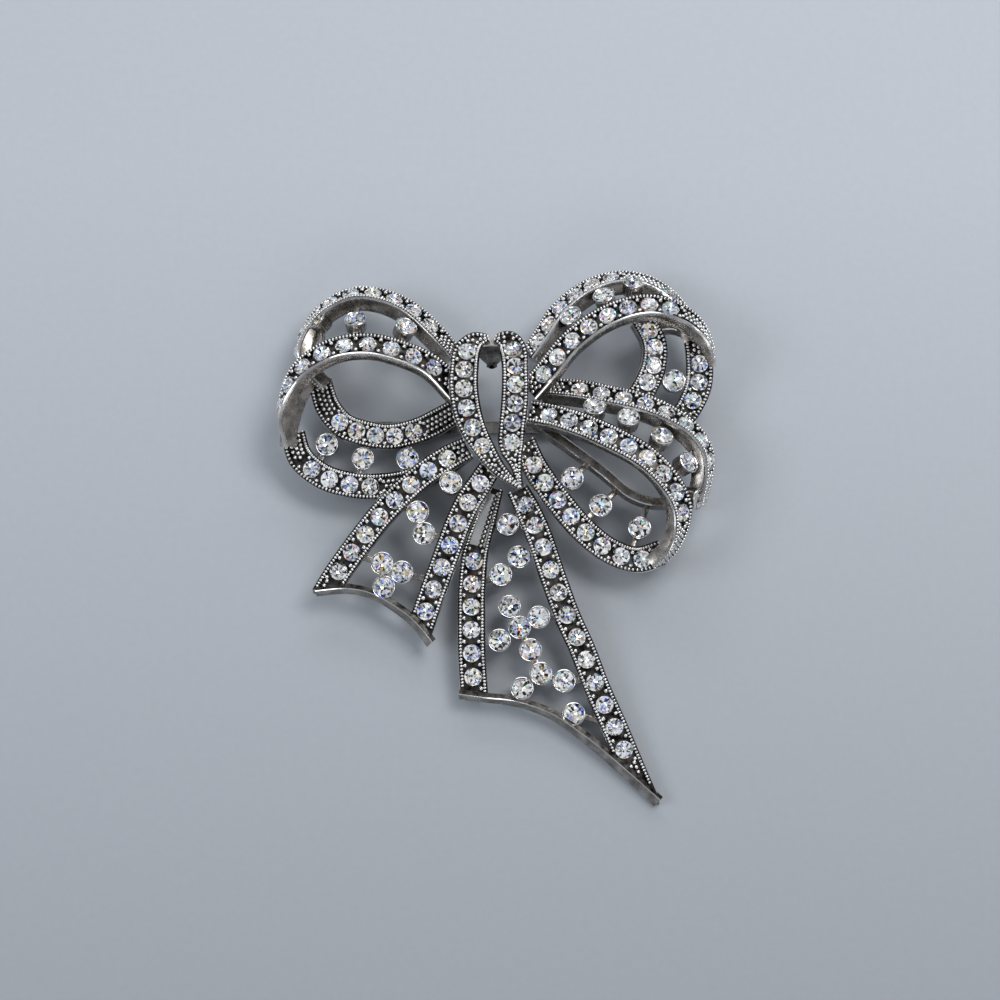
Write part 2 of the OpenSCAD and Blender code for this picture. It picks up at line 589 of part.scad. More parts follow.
module left_tail_stones() {
    color("white") placed() {
        rail_stones(left_tail_left, 0.105, 0.809, 8);
        rail_stones(left_tail_right, 0.113, 0.832, 7);
    }
}

module right_tail_stones() {
    color("white") placed() {
        rail_stones(right_tail_left, 0.342, 0.862, 6);
        rail_stones(right_tail_right, 0.053, 0.82, 12);
    }
}

module cup_stone(i) {
    color("white") placed()
        stand(CUP_PLACES[i])
            translate([0, 0, stone_gap - cup_seat])
                stone(cup_d - 2 * cup_wall - 2 * stone_gap, cup_stone_h);
}

left_loop();
right_upper_loop();
right_lower_loop();
knot();
left_tail();
right_tail();
pin_back();
left_loop_stones();
right_upper_loop_stones();
right_lower_loop_stones();
knot_stones();
left_tail_stones();
right_tail_stones();
for (i = [0:len(CUP_PLACES) - 1])
    cup_stone(i);
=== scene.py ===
"""A silver bow brooch set with round brilliants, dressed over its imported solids."""
import math
import random

import bmesh
import bpy
from mathutils import Matrix, Vector


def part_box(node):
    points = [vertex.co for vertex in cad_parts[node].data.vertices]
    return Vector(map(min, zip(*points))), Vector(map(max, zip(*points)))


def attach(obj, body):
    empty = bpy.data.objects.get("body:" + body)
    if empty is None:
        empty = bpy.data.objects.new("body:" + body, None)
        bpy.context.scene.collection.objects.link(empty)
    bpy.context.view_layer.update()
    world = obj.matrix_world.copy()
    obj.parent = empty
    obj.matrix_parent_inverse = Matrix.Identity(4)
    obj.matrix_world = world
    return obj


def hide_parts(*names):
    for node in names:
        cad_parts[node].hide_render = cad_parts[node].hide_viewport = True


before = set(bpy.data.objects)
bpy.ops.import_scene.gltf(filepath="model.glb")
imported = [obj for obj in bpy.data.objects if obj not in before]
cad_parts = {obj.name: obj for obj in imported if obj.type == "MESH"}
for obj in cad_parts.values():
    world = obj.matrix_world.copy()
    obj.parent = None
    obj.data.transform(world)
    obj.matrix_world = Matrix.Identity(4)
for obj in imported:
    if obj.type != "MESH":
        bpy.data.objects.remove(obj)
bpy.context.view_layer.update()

MM = 0.001

# Sizes of the brooch, as the solids have them
LEFT_LOOP_LEN, RIGHT_UPPER_LEN, RIGHT_LOWER_LEN = 33 * MM, 32 * MM, 31 * MM
KNOT_LEN, LEFT_TAIL_LEN, RIGHT_TAIL_LEN = 22 * MM, 32 * MM, 55 * MM
BOW_DEPTH = 13 * MM
RAIL_W, RAIL_T, BACK_RAIL_T, KNOT_RAIL_T = 3.95 * MM, 2 * MM, 2.5 * MM, 2.7 * MM
RIM_W, WALL_W, LINK_W, LINK_T = 0.9 * MM, 1.4 * MM, 0.9 * MM, 0.9 * MM
STONE_D, CUP_D, CUP_H, CUP_WALL = 2.6 * MM, 3.4 * MM, 2.2 * MM, 0.2 * MM
LINK_SHARE = 0.55  # how far down a cup's height its bars stand
BAR_LEN, BAR_W, SEAT_GAP = 35 * MM, 1.8 * MM, 0.1 * MM
BASE, BASE_TURN = 0.375, 8  # height share and lean in degrees of the rails that lie over the pin bar
BAR_SHIFT, BAR_UP = BAR_LEN * 0.13, KNOT_LEN * 0.03
BAR_TOP = BASE * BOW_DEPTH - RAIL_T - RAIL_W / 2 * math.sin(math.radians(BASE_TURN)) - SEAT_GAP

# Sizes of the trim that only this script adds
BEAD_R, BEAD_PITCH, BEAD_SQUASH, LIP = 0.29 * MM, 0.48 * MM, 0.76, 0.14 * MM
GRAIN_R, GRAIN_INSET, GRAIN_SINK = 0.34 * MM, 0.97 * MM, 0.12 * MM
FILL_R, FILL_PITCH, FILL_SINK = 0.33 * MM, 0.74 * MM, 0.14 * MM
FILL_START, FILL_MARGIN, FILL_APART, FILL_ROOM, MOST_ABREAST = 0.3 * MM, 0.62 * MM, 2.1, 2.05, 3
PLATE_SHARE, RING_SIDE, RING_SINK, RING_LIFT = 0.29, 0.55 * MM, 0.24 * MM, 0.08 * MM
RING_SIZE, RING_BEAD = (1.35, 1.3, 0.5), 0.85  # shares of the radius FILL_R
STONE_MARGIN, STONE_SINK, CUP_STONE_SINK, CUP_STONE_PLAY = 1.0 * MM, 0.02 * MM, 0.04 * MM, 0.01 * MM
LEFT_WALL_SHARE, BAR_BEVEL = 1.7, 0.18 * MM
SWEEP_STEP, MERGE_DIST = 0.45 * MM, 1e-7
ROUTE_MARKS, HEADING_REACH, RIM_MARKS = 200, 0.01, 60

# Rows of a route: x and y as shares of the ribbon's length, z as a share of the bow's depth,
# the turn of the face in degrees, and the width as a share of the rail's.
LEFT_TOP_FRONT = [
    (-0.190, 0.125, 0.64, 20, 1), (-0.310, 0.230, 0.845, 20, 1), (-0.445, 0.282, 0.97, 18, 1),
    (-0.600, 0.315, 1.00, 18, 1), (-0.760, 0.298, 0.97, 22, 1), (-0.903, 0.222, 0.88, 35, 1),
    (-0.978, 0.125, 0.73, 60, 1), (-1.005, 0.010, 0.57, 85, 1), (-0.980, -0.095, 0.44, 95, 1),
]
LEFT_TOP_BACK = [
    (-0.200, 0.325, 0.50, 45, 0.9), (-0.305, 0.447, 0.54, 45, 1), (-0.425, 0.555, 0.555, 45, 1),
    (-0.560, 0.615, 0.555, 45, 1), (-0.695, 0.622, 0.54, 48, 1), (-0.818, 0.563, 0.50, 55, 1),
    (-0.905, 0.460, 0.46, 70, 1), (-0.935, 0.340, 0.425, 85, 1), (-0.890, 0.240, 0.40, 95, 0.9),
    (-0.815, 0.170, 0.38, 95, 0.8),
]
LEFT_BASE_FRONT = [
    (-0.945, -0.035, 0.41, 0, 0.9), (-0.912, -0.145, 0.39, 4, 1), (-0.815, -0.230, 0.38, 8, 1),
    (-0.695, -0.270, BASE, 8, 1), (-0.560, -0.280, BASE, 8, 1), (-0.410, -0.255, 0.38, 8, 1),
    (-0.265, -0.180, 0.395, 6, 1), (-0.160, -0.105, 0.41, 4, 0.9),
]
LEFT_BASE_BACK = [
    (-0.828, 0.215, 0.41, 0, 0.9), (-0.795, 0.100, 0.38, 6, 1), (-0.722, 0.010, BASE, 8, 1),
    (-0.620, -0.030, BASE, 8, 1), (-0.510, -0.045, BASE, 8, 1), (-0.390, -0.020, 0.38, 8, 1),
    (-0.285, 0.030, 0.39, 6, 1), (-0.175, 0.100, 0.40, 4, 0.9),
]
LEFT_END_WALL = [
    (-0.845, 0.235, 0.47, -40, 1), (-0.897, 0.150, 0.47, -40, 1), (-0.930, 0.060, 0.46, -40, 1),
    (-0.950, -0.030, 0.44, -40, 1), (-0.955, -0.100, 0.42, -40, 1),
]
UPPER_TOP_FRONT = [
    (0.120, 0.140, 0.66, -20, 1), (0.210, 0.230, 0.80, -20, 1), (0.313, 0.345, 0.91, -18, 1),
    (0.455, 0.450, 0.975, -18, 1), (0.610, 0.510, 1.00, -20, 1), (0.745, 0.515, 0.975, -25, 1),
    (0.880, 0.465, 0.90, -40, 1), (0.968, 0.375, 0.78, -65, 0.9), (0.996, 0.275, 0.61, -85, 0.5),
]
UPPER_TOP_BACK = [
    (0.115, 0.335, 0.50, -45, 0.9), (0.187, 0.444, 0.54, -45, 1), (0.268, 0.566, 0.555, -45, 1),
    (0.395, 0.671, 0.555, -45, 1), (0.537, 0.722, 0.555, -46, 1), (0.678, 0.708, 0.555, -50, 1),
    (0.797, 0.635, 0.555, -55, 1), (0.887, 0.520, 0.54, -65, 1), (0.930, 0.410, 0.525, -80, 1),
]
UPPER_END_WALL = [
    (0.915, 0.440, 0.50, 0, 1), (0.805, 0.485, 0.51, 0, 1), (0.685, 0.470, 0.495, 0, 1),
]
UPPER_BASE_FRONT = [
    (0.917, 0.420, 0.555, 0, 1.05), (0.926, 0.300, 0.53, 0, 1.05), (0.918, 0.185, 0.517, 0, 1.05),
    (0.873, 0.080, 0.50, 0, 1), (0.810, 0.000, 0.48, 0, 1),
]
UPPER_BASE_BACK = [
    (0.665, 0.505, 0.565, -15, 1), (0.716, 0.395, 0.545, -15, 1), (0.712, 0.285, 0.525, -15, 1),
    (0.677, 0.195, 0.50, -15, 1), (0.625, 0.110, 0.48, -15, 1),
]
LOWER_TOP_FRONT = [
    (0.125, 0.045, 0.66, -15, 1), (0.245, 0.008, 0.77, -15, 1), (0.385, -0.052, 0.87, -12, 1),
    (0.528, -0.128, 0.94, -10, 1), (0.669, -0.215, 0.975, -12, 1), (0.777, -0.322, 0.955, -20, 1),
    (0.845, -0.435, 0.87, -35, 1), (0.850, -0.545, 0.755, -60, 1), (0.812, -0.637, 0.60, -80, 1),
    (0.745, -0.695, 0.44, -90, 1),
]
LOWER_TOP_BACK = [
    (0.200, 0.195, 0.47, -30, 0.9), (0.365, 0.170, 0.58, -30, 1), (0.510, 0.130, 0.66, -30, 1),
    (0.650, 0.090, 0.72, -32, 1), (0.792, 0.027, 0.755, -38, 1), (0.915, -0.055, 0.73, -48, 1),
    (0.985, -0.160, 0.67, -60, 1), (0.990, -0.275, 0.58, -75, 1), (0.960, -0.400, 0.48, -85, 1),
]
LOWER_BASE_FRONT = [
    (0.110, -0.095, 0.58, 5, 0.8), (0.160, -0.235, 0.60, 5, 0.97), (0.265, -0.385, 0.555, 5, 1),
    (0.385, -0.525, 0.495, 5, 1), (0.510, -0.620, 0.43, 5, 1), (0.640, -0.660, 0.39, 5, 1),
    (0.760, -0.625, 0.39, 0, 1),
]
LOWER_BASE_BACK = [
    (0.160, 0.010, 0.54, 0, 1), (0.345, -0.125, 0.50, 0, 1), (0.490, -0.235, 0.46, 0, 1),
    (0.610, -0.335, 0.425, 0, 1), (0.730, -0.375, 0.40, 0, 1), (0.840, -0.365, 0.41, 0, 1),
    (0.945, -0.370, 0.44, 0, 1),
]
KNOT_LEFT = [
    (-0.095, 0.545, 0.84, 0, 0.35), (-0.180, 0.515, 0.89, 0, 0.75), (-0.238, 0.430, 0.94, 0, 1.03),
    (-0.255, 0.300, 0.975, 0, 1.09), (-0.257, 0.163, 0.985, 0, 1.10), (-0.236, 0.018, 0.97, 0, 1.08),
    (-0.194, -0.110, 0.945, 0, 0.99), (-0.128, -0.230, 0.90, 0, 0.84), (-0.028, -0.370, 0.85, 0, 0.58),
    (0.109, -0.490, 0.80, 0, 0.25),
]
KNOT_RIGHT = [
    (-0.045, 0.545, 0.84, 0, 0.35), (0.035, 0.515, 0.89, 0, 0.9), (0.078, 0.430, 0.94, 0, 1.05),
    (0.087, 0.300, 0.975, 0, 1), (0.088, 0.163, 0.985, 0, 1.02), (0.081, 0.026, 0.97, 0, 1.02),
    (0.066, -0.108, 0.94, 0, 1), (0.062, -0.230, 0.895, 0, 0.95), (0.094, -0.356, 0.85, 0, 0.46),
    (0.118, -0.490, 0.80, 0, 0.25),
]
KNOT_END_WALL = [
    (-0.215, 0.510, 0.74, -14, 1), (-0.145, 0.520, 0.80, -14, 1), (-0.070, 0.522, 0.82, -14, 1),
    (0.005, 0.520, 0.80, -14, 1), (0.075, 0.510, 0.74, -14, 1),
]
LEFT_TAIL_LEFT = [
    (-0.158, -0.130, 0.62, 0, 0.9), (-0.252, -0.180, 0.62, 0, 1), (-0.345, -0.242, 0.61, 0, 1),
    (-0.445, -0.327, 0.59, 0, 1), (-0.551, -0.436, 0.555, 0, 1), (-0.651, -0.561, 0.50, 0, 1),
    (-0.746, -0.691, 0.44, 0, 1), (-0.800, -0.776, 0.40, 0, 1), (-0.852, -0.865, 0.36, 0, 1),
]
LEFT_TAIL_RIGHT = [
    (-0.050, -0.213, 0.60, 0, 0.85), (-0.100, -0.300, 0.62, 0, 0.95), (-0.155, -0.388, 0.62, 0, 1),
    (-0.202, -0.488, 0.60, 0, 1),
    (-0.243, -0.597, 0.555, 0, 1), (-0.285, -0.707, 0.485, 0, 1), (-0.326, -0.816, 0.43, 0, 1),
    (-0.362, -0.920, 0.38, 0, 1), (-0.400, -1.025, 0.34, 0, 1),
]
LEFT_TAIL_RIM = [
    (-0.860, -0.775, 0.385, -10, 1), (-0.710, -0.765, 0.40, -10, 1), (-0.580, -0.795, 0.40, -12, 1),
    (-0.440, -0.880, 0.385, -16, 1), (-0.365, -0.950, 0.36, -20, 1), (-0.312, -1.015, 0.34, -25, 1),
]
RIGHT_TAIL_LEFT = [
    (-0.019, -0.176, 0.42, 0, 0.65), (-0.046, -0.262, 0.40, 0, 0.85), (-0.072, -0.350, 0.355, 0, 1),
    (-0.081, -0.442, 0.346, 0, 1.04), (-0.082, -0.530, 0.36, 0, 1.04), (-0.081, -0.620, 0.33, 0, 1.04),
    (-0.076, -0.705, 0.285, 0, 1.04), (-0.072, -0.770, 0.26, 0, 1.04),
]
RIGHT_TAIL_RIGHT = [
    (0.042, -0.180, 0.43, 0, 0.85), (0.063, -0.225, 0.46, 0, 0.95), (0.090, -0.290, 0.49, 0, 1),
    (0.110, -0.345, 0.49, 0, 1),
    (0.138, -0.430, 0.455, 0, 1), (0.173, -0.526, 0.41, 0, 1), (0.213, -0.615, 0.36, 0, 1),
    (0.253, -0.719, 0.30, 0, 1), (0.297, -0.818, 0.24, 0, 1), (0.340, -0.922, 0.205, 0, 1),
    (0.386, -1.032, 0.185, 0, 1),
]
RIGHT_TAIL_RIM = [
    (-0.114, -0.725, 0.27, -10, 1), (-0.045, -0.735, 0.275, -10, 1), (0.040, -0.745, 0.27, -12, 1),
    (0.132, -0.777, 0.255, -15, 1), (0.208, -0.826, 0.235, -18, 1), (0.270, -0.874, 0.215, -22, 1),
    (0.353, -0.946, 0.19, -26, 1), (0.420, -1.006, 0.17, -30, 1),
]

# Rows of a cup: its place along the first rail and along the second, its share of the way from
# the first to the second, and whether a bar joins it to the first and to the second.
LEFT_TOP_CUPS = [(0.245, 0.225, 0.56, 1, 1), (0.425, 0.42, 0.48, 1, 1), (0.55, 0.595, 0.84, 1, 1)]
LEFT_BASE_CUPS = [(0.235, 0.255, 0.53, 1, 1), (0.455, 0.465, 0.53, 1, 1), (0.685, 0.685, 0.48, 1, 1)]
UPPER_TOP_CUPS = [
    (0.295, 0.275, 0.58, 1, 1), (0.405, 0.435, 0.57, 1, 1), (0.535, 0.565, 0.78, 1, 1),
    (0.63, 0.745, 0.90, 1, 1),
]
UPPER_BASE_CUPS = [(0.455, 0.69, 0.50, 1, 1)]
LOWER_TOP_CUPS = [
    (0.235, 0.215, 0.59, 1, 1), (0.353, 0.363, 0.58, 1, 1), (0.47, 0.52, 0.53, 1, 1),
    (0.59, 0.69, 0.52, 1, 1), (0.74, 0.91, 0.60, 1, 1),
]
LOWER_BASE_CUPS = [(0.31, 0.25, 0.50, 1, 1), (0.475, 0.44, 0.52, 1, 1), (0.785, 0.63, 0.53, 1, 1)]
LEFT_TAIL_CUPS = [
    (0.24, 0.205, 0.50, 1, 1), (0.44, 0.405, 0.39, 1, 0), (0.57, 0.445, 0.65, 0, 1),
    (0.675, 0.68, 0.36, 1, 0), (0.695, 0.675, 0.61, 0, 1), (0.755, 0.79, 0.50, 0, 0),
]
RIGHT_TAIL_CUPS = [
    (0.19, 0.16, 0.52, 1, 1), (0.365, 0.305, 0.65, 0, 1), (0.415, 0.345, 0.38, 1, 0),
    (0.55, 0.45, 0.43, 0, 0), (0.605, 0.495, 0.71, 0, 1), (0.64, 0.515, 0.49, 0, 0),
    (0.68, 0.55, 0.27, 1, 0), (0.73, 0.59, 0.54, 0, 0), (0.84, 0.65, 0.58, 0, 0),
    (0.875, 0.675, 0.755, 0, 1), (0.895, 0.688, 0.395, 0, 0), (0.895, 0.79, 0.72, 0, 1),
]

# Cups of a tail that a bar joins to each other, counted from 0
LEFT_TAIL_PAIRS = [(1, 2), (3, 4), (3, 5), (4, 5)]
RIGHT_TAIL_PAIRS = [(1, 2), (3, 5), (4, 5), (5, 6), (5, 7), (7, 8), (8, 9), (8, 10)]

# Cross-sections in mm, from the left side over the top: x to the right of travel, z up from the face.
# A beaded side carries a row of beads; a plain side is a thick rounded lip.
BEADED_SIDE = [
    (-1.82, -0.55), (-1.975, -0.34), (-1.965, -0.08), (-1.90, 0.01), (-1.81, -0.10), (-1.37, -0.16),
]
PLAIN_SIDE = [
    (-1.82, -0.55), (-1.975, -0.36), (-1.955, -0.06), (-1.83, 0.08), (-1.62, 0.08), (-1.47, -0.06),
]
BED_POINTS = [(-1.30, -0.52), (0.0, -0.46), (1.30, -0.52)]
PLATE = [(-1.28, -0.50), (-1.20, -0.30), (1.20, -0.30), (1.28, -0.50)]

# Material numbers of a casting, and those of a rail's side from the outside in
# The fourth number, the wall metal, is painted shade and reflection: a darker, browner copy of the silver on
# rail undersides, wall sides, undersides and tops, cup walls and bars
SILVER, BED, BRIGHT, SHADED_WALL = 0, 1, 2, 3
SIDE_LANES = {True: [SILVER, SILVER, BRIGHT, BED, BED], False: [SILVER, SILVER, BRIGHT, BRIGHT, BED]}


def sized(rows, length):
    """A route's rows in metres."""
    return [Vector((x * length, y * length, z * BOW_DEPTH, turn, width)) for x, y, z, turn, width in rows]


class Route:
    """A smooth line through a ribbon's rows, measured along its length."""

    def __init__(self, rows, length):
        self.rows = sized(rows, length)
        self.run = [0.0]
        for k in range(ROUTE_MARKS):
            a, b = self.row(k / ROUTE_MARKS), self.row((k + 1) / ROUTE_MARKS)
            self.run.append(self.run[-1] + (Vector(b[:3]) - Vector(a[:3])).length)
        self.length = self.run[-1]

    def row(self, t):
        """Place, turn and width at parameter t, by a curve through the rows."""
        last = len(self.rows) - 1
        s = t * last
        i = max(0, min(math.floor(s), last - 1))
        f = s - i
        a, b = self.rows[max(i - 1, 0)], self.rows[i]
        c, d = self.rows[i + 1], self.rows[min(i + 2, last)]
        return 0.5 * (2 * b + (c - a) * f + (2 * a - 5 * b + 4 * c - d) * f * f
                      + (3 * b - a - 3 * c + d) * f * f * f)

    def heading(self, t):
        """The way of travel."""
        after, before = self.row(min(t + HEADING_REACH, 1)), self.row(max(t - HEADING_REACH, 0))
        return (Vector(after[:3]) - Vector(before[:3])).normalized()

    def facing(self, t):
        """The way that the face looks: up, turned about the way of travel."""
        ahead = self.heading(t)
        up = (Vector((0, 0, 1)) - ahead * ahead.z).normalized()
        turn = math.radians(self.row(t)[3])
        return up * math.cos(turn) + ahead.cross(up) * math.sin(turn)

    def at_share(self, share):
        """The parameter at a share of the route's length."""
        goal = max(0.0, min(1.0, share)) * self.length
        k = next(i for i in range(1, ROUTE_MARKS + 1) if self.run[i] >= goal or i == ROUTE_MARKS)
        part = (goal - self.run[k - 1]) / (self.run[k] - self.run[k - 1])
        return (k - 1 + part) / ROUTE_MARKS

    def place(self, t):
        """X to the right of travel, Y ahead, Z the way that the face looks."""
        row = self.row(t)
        return standing(Vector(row[:3]) + TO_FRAME, self.heading(t), self.facing(t))


def standing(at, ahead, up):
    """The matrix that puts a shape at a point, with Y ahead and Z up."""
    right = ahead.cross(up)
    turned = Matrix((right, ahead, up)).transposed().to_4x4()
    return Matrix.Translation(at) @ turned


# From the knot's middle to the frame's origin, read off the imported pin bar
pin_low, pin_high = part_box("pin_back")
TO_FRAME = Vector((
    pin_low.x + BAR_LEN / 2 + BAR_SHIFT,
    pin_low.y + BAR_W / 2 - BAR_UP,
    pin_high.z - BAR_TOP,
))


def shift(x, y, z):
    """A move, as a matrix."""
    return Matrix.Translation((x, y, z))


# ---- materials


def new_material(name):
    """A material with its nodes, links and shader."""
    material = bpy.data.materials.new(name)
    material.use_nodes = True
    nodes, links = material.node_tree.nodes, material.node_tree.links
    return material, nodes, links, nodes["Principled BSDF"]


def make_wear_group():
    """Uneven polish: soft tone patches, fine scratches and a bump height, from Object coordinates."""
    group = bpy.data.node_groups.new("uneven_polish", "ShaderNodeTree")
    for name in ["Patch Scale", "Scratch Scale"]:
        group.interface.new_socket(name, in_out="INPUT", socket_type="NodeSocketFloat")
    for name in ["Patches", "Scratches", "Height"]:
        group.interface.new_socket(name, in_out="OUTPUT", socket_type="NodeSocketFloat")
    nodes, links = group.nodes, group.links
    into, out = nodes.new("NodeGroupInput"), nodes.new("NodeGroupOutput")
    place = nodes.new("ShaderNodeTexCoord")
    patches = nodes.new("ShaderNodeTexNoise")
    patches.inputs["Detail"].default_value = 3
    scratches = nodes.new("ShaderNodeTexNoise")
    scratches.inputs["Detail"].default_value = 2
    scratches.inputs["Roughness"].default_value = 0.7
    for node, scale in [(patches, "Patch Scale"), (scratches, "Scratch Scale")]:
        links.new(place.outputs["Object"], node.inputs["Vector"])
        links.new(into.outputs[scale], node.inputs["Scale"])
    both = nodes.new("ShaderNodeMath")
    both.operation = "MULTIPLY_ADD"
    both.inputs[1].default_value = 0.5
    links.new(scratches.outputs["Fac"], both.inputs[0])
    links.new(patches.outputs["Fac"], both.inputs[2])
    links.new(patches.outputs["Fac"], out.inputs["Patches"])
    links.new(scratches.outputs["Fac"], out.inputs["Scratches"])
    links.new(both.outputs[0], out.inputs["Height"])
    return group


WEAR = make_wear_group()


def metal(name, dark, light, rough_low, rough_high, bump, patch_scale=300, scratch_scale=1800):
    """A metal whose tone and polish vary over the surface."""
    material, nodes, links, shader = new_material(name)
    wear = nodes.new("ShaderNodeGroup")
    wear.node_tree = WEAR
    wear.inputs["Patch Scale"].default_value = patch_scale
    wear.inputs["Scratch Scale"].default_value = scratch_scale
    tone = nodes.new("ShaderNodeValToRGB")
    tone.color_ramp.elements[0].position, tone.color_ramp.elements[1].position = 0.35, 0.65
    tone.color_ramp.elements[0].color = (*dark, 1)
    tone.color_ramp.elements[1].color = (*light, 1)
    polish = nodes.new("ShaderNodeMapRange")
    polish.inputs["From Min"].default_value, polish.inputs["From Max"].default_value = 0.3, 0.7
    polish.inputs["To Min"].default_value, polish.inputs["To Max"].default_value = rough_low, rough_high
    dent = nodes.new("ShaderNodeBump")
    dent.inputs["Strength"].default_value = bump
    dent.inputs["Distance"].default_value = 0.05 * MM
    links.new(wear.outputs["Patches"], tone.inputs["Fac"])
    links.new(tone.outputs["Color"], shader.inputs["Base Color"])
    links.new(wear.outputs["Scratches"], polish.inputs["Value"])
    links.new(polish.outputs["Result"], shader.inputs["Roughness"])
    links.new(wear.outputs["Height"], dent.inputs["Height"])
    links.new(dent.outputs["Normal"], shader.inputs["Normal"])
    shader.inputs["Metallic"].default_value = 1
    return material


silver = metal("silver_polish", (0.42, 0.41, 0.40), (0.80, 0.79, 0.78), 0.14, 0.34, 0.5)
bed = metal("blackened_bed", (0.008, 0.008, 0.007), (0.085, 0.08, 0.075), 0.30, 0.55, 0.6, 900, 3000)
bright = metal("bright_bead", (0.66, 0.655, 0.65), (0.92, 0.915, 0.91), 0.10, 0.22, 0.3)
# Painted shade and reflection: a darker, browner copy of the silver for undersides, walls, cup sides and
# bars
shaded_wall_metal = metal("painted_shade_wall", (0.20, 0.182, 0.165), (0.50, 0.47, 0.44), 0.18, 0.36, 0.6, 500, 2600)
# Painted shade and reflection: the pin steel is darkened as if in the shade under the bow, mirroring its
# dark underside
shaded_steel = metal("pin_steel_painted_shade", (0.13, 0.125, 0.12), (0.32, 0.31, 0.30), 0.22, 0.40, 0.3)


def make_glass():
    """Clear glass with a faint, uneven film."""
    material, nodes, links, shader = new_material("brilliant_glass")
    place = nodes.new("ShaderNodeTexCoord")
    smear = nodes.new("ShaderNodeTexNoise")
    smear.inputs["Scale"].default_value = 900
    film = nodes.new("ShaderNodeMapRange")
    film.inputs["From Min"].default_value, film.inputs["From Max"].default_value = 0.5, 0.8
    film.inputs["To Min"].default_value, film.inputs["To Max"].default_value = 0.0, 0.03
    links.new(place.outputs["Object"], smear.inputs["Vector"])
    links.new(smear.outputs["Fac"], film.inputs["Value"])
    links.new(film.outputs["Result"], shader.inputs["Roughness"])
    shader.inputs["Base Color"].default_value = (0.98, 0.99, 1, 1)
    shader.inputs["Transmission Weight"].default_value = 1
    shader.inputs["IOR"].default_value = 1.65
    return material


def make_foil():
    """Mirror facets under the glass, each painted with a reflection tone drawn for its facet (white, grey,
    black or coloured fire), which also glows faintly: painted reflections and painted glow.
    """
    material, nodes, links, shader = new_material("brilliant_foil")
    painted_glint = nodes.new("ShaderNodeAttribute")
    painted_glint.attribute_name = "painted_glint"
    links.new(painted_glint.outputs["Color"], shader.inputs["Base Color"])
    shader.inputs["Metallic"].default_value = 1
    shader.inputs["Roughness"].default_value = 0.06
    # The facet's painted tone also lights the foil as emission: painted glow.
    links.new(painted_glint.outputs["Color"], shader.inputs["Emission Color"])
    shader.inputs["Emission Strength"].default_value = 0.3
    return material


glass, foil = make_glass(), make_foil()

# ---- shapes used many times


def finished(bm, name, sharp):
    """Closes a bmesh off as a mesh with merged doubles, outward faces and edges sharp above an angle."""
    bmesh.ops.remove_doubles(bm, verts=bm.verts, dist=MERGE_DIST)
    bmesh.ops.recalc_face_normals(bm, faces=bm.faces)
    mesh = bpy.data.meshes.new(name)
    bm.to_mesh(mesh)
    bm.free()
    mesh.shade_smooth()
    mesh.set_sharp_from_angle(angle=math.radians(sharp))
    return mesh


def make_bead(index):
    """A smooth bead one unit in radius."""
    bm = bmesh.new()
    bmesh.ops.create_uvsphere(bm, u_segments=8, v_segments=5, radius=1)
    for face in bm.faces:
        face.material_index = index
    return finished(bm, "bead", 180)


def hull(bm, points):
    """A closed shell of flat facets round some points."""
    verts = [bm.verts.new(p) for p in points]
    out = bmesh.ops.convex_hull(bm, input=verts)
    faces = {f for f in out["geom"] if isinstance(f, bmesh.types.BMFace)}
    edges = {e for f in faces for e in f.edges}
    bmesh.ops.dissolve_limit(bm, angle_limit=math.radians(1), verts=verts, edges=list(edges))


def around(count, radius, height, start=0.0):
    """Points round a circle; start turns them by a share of a step."""
    step = 2 * math.pi / count
    return [Vector((radius * math.cos(step * (k + start)), radius * math.sin(step * (k + start)), height))
            for k in range(count)]


# A cut stone, as shares of its radius; its crown has material 0, the glass, and its dish the foil
TABLE_R, STAR_R, CROWN_H, CULET_R, DEPTH = 0.56, 0.80, 0.34, 0.93, 0.36
DISH_MIDDLE, DISH_BOTTOM = -0.92 * DEPTH, -1.05 * DEPTH
DISH_INNER, DISH_OUTER, DISH_RIM = (0.32, -0.70 * DEPTH), (0.66, -0.36 * DEPTH), (0.97, -0.03)
FOIL = 1


def make_brilliant():
    """A brilliant one unit in radius: a glass crown over a dish of mirror facets."""
    bm = bmesh.new()
    star_h = CROWN_H * (1 - STAR_R * math.cos(math.pi / 8)) / (1 - TABLE_R)
    hull(bm, around(8, TABLE_R, CROWN_H) + around(8, STAR_R, star_h, 0.5)
         + around(16, 1.0, 0.0) + around(16, CULET_R, -DEPTH))
    crown = finished(bm, "crown", 1)

    # The dish's facets lie between its middle and three rings of eight, sixteen and sixteen points
    bm = bmesh.new()
    middle = bm.verts.new((0, 0, DISH_MIDDLE))
    inner = [bm.verts.new(p) for p in around(8, *DISH_INNER, 0.5)]
    outer = [bm.verts.new(p) for p in around(16, *DISH_OUTER)]
    rim = [bm.verts.new(p) for p in around(16, *DISH_RIM, 0.5)]
    for k in range(8):
        before, after = inner[k - 1], inner[k]
        main, side, near = outer[2 * k], outer[2 * k + 1], outer[(2 * k + 2) % 16]
        bm.faces.new((middle, before, after))
        bm.faces.new((before, main, after))
        bm.faces.new((main, side, after))
        bm.faces.new((after, side, near))
    for k in range(16):
        bm.faces.new((outer[k - 1], rim[k - 1], outer[k]))
        bm.faces.new((rim[k - 1], rim[k], outer[k]))
    edges = [e for e in bm.edges if e.is_boundary]
    out = bmesh.ops.extrude_edge_only(bm, edges=edges)
    for v in [g for g in out["geom"] if isinstance(g, bmesh.types.BMVert)]:
        v.co.z = DISH_BOTTOM
    bmesh.ops.contextual_create(bm, geom=[e for e in bm.edges if e.is_boundary])
    for face in bm.faces:
        face.material_index = FOIL
    return crown, finished(bm, "dish", 1)


def add_copy(bm, shape, matrix):
    """Adds a moved copy of a mesh."""
    copy = shape.copy()
    copy.transform(matrix)
    bm.from_mesh(copy)
    bpy.data.meshes.remove(copy)


BEAD, DARK_BEAD = make_bead(BRIGHT), make_bead(BED)
CROWN, DISH = make_brilliant()
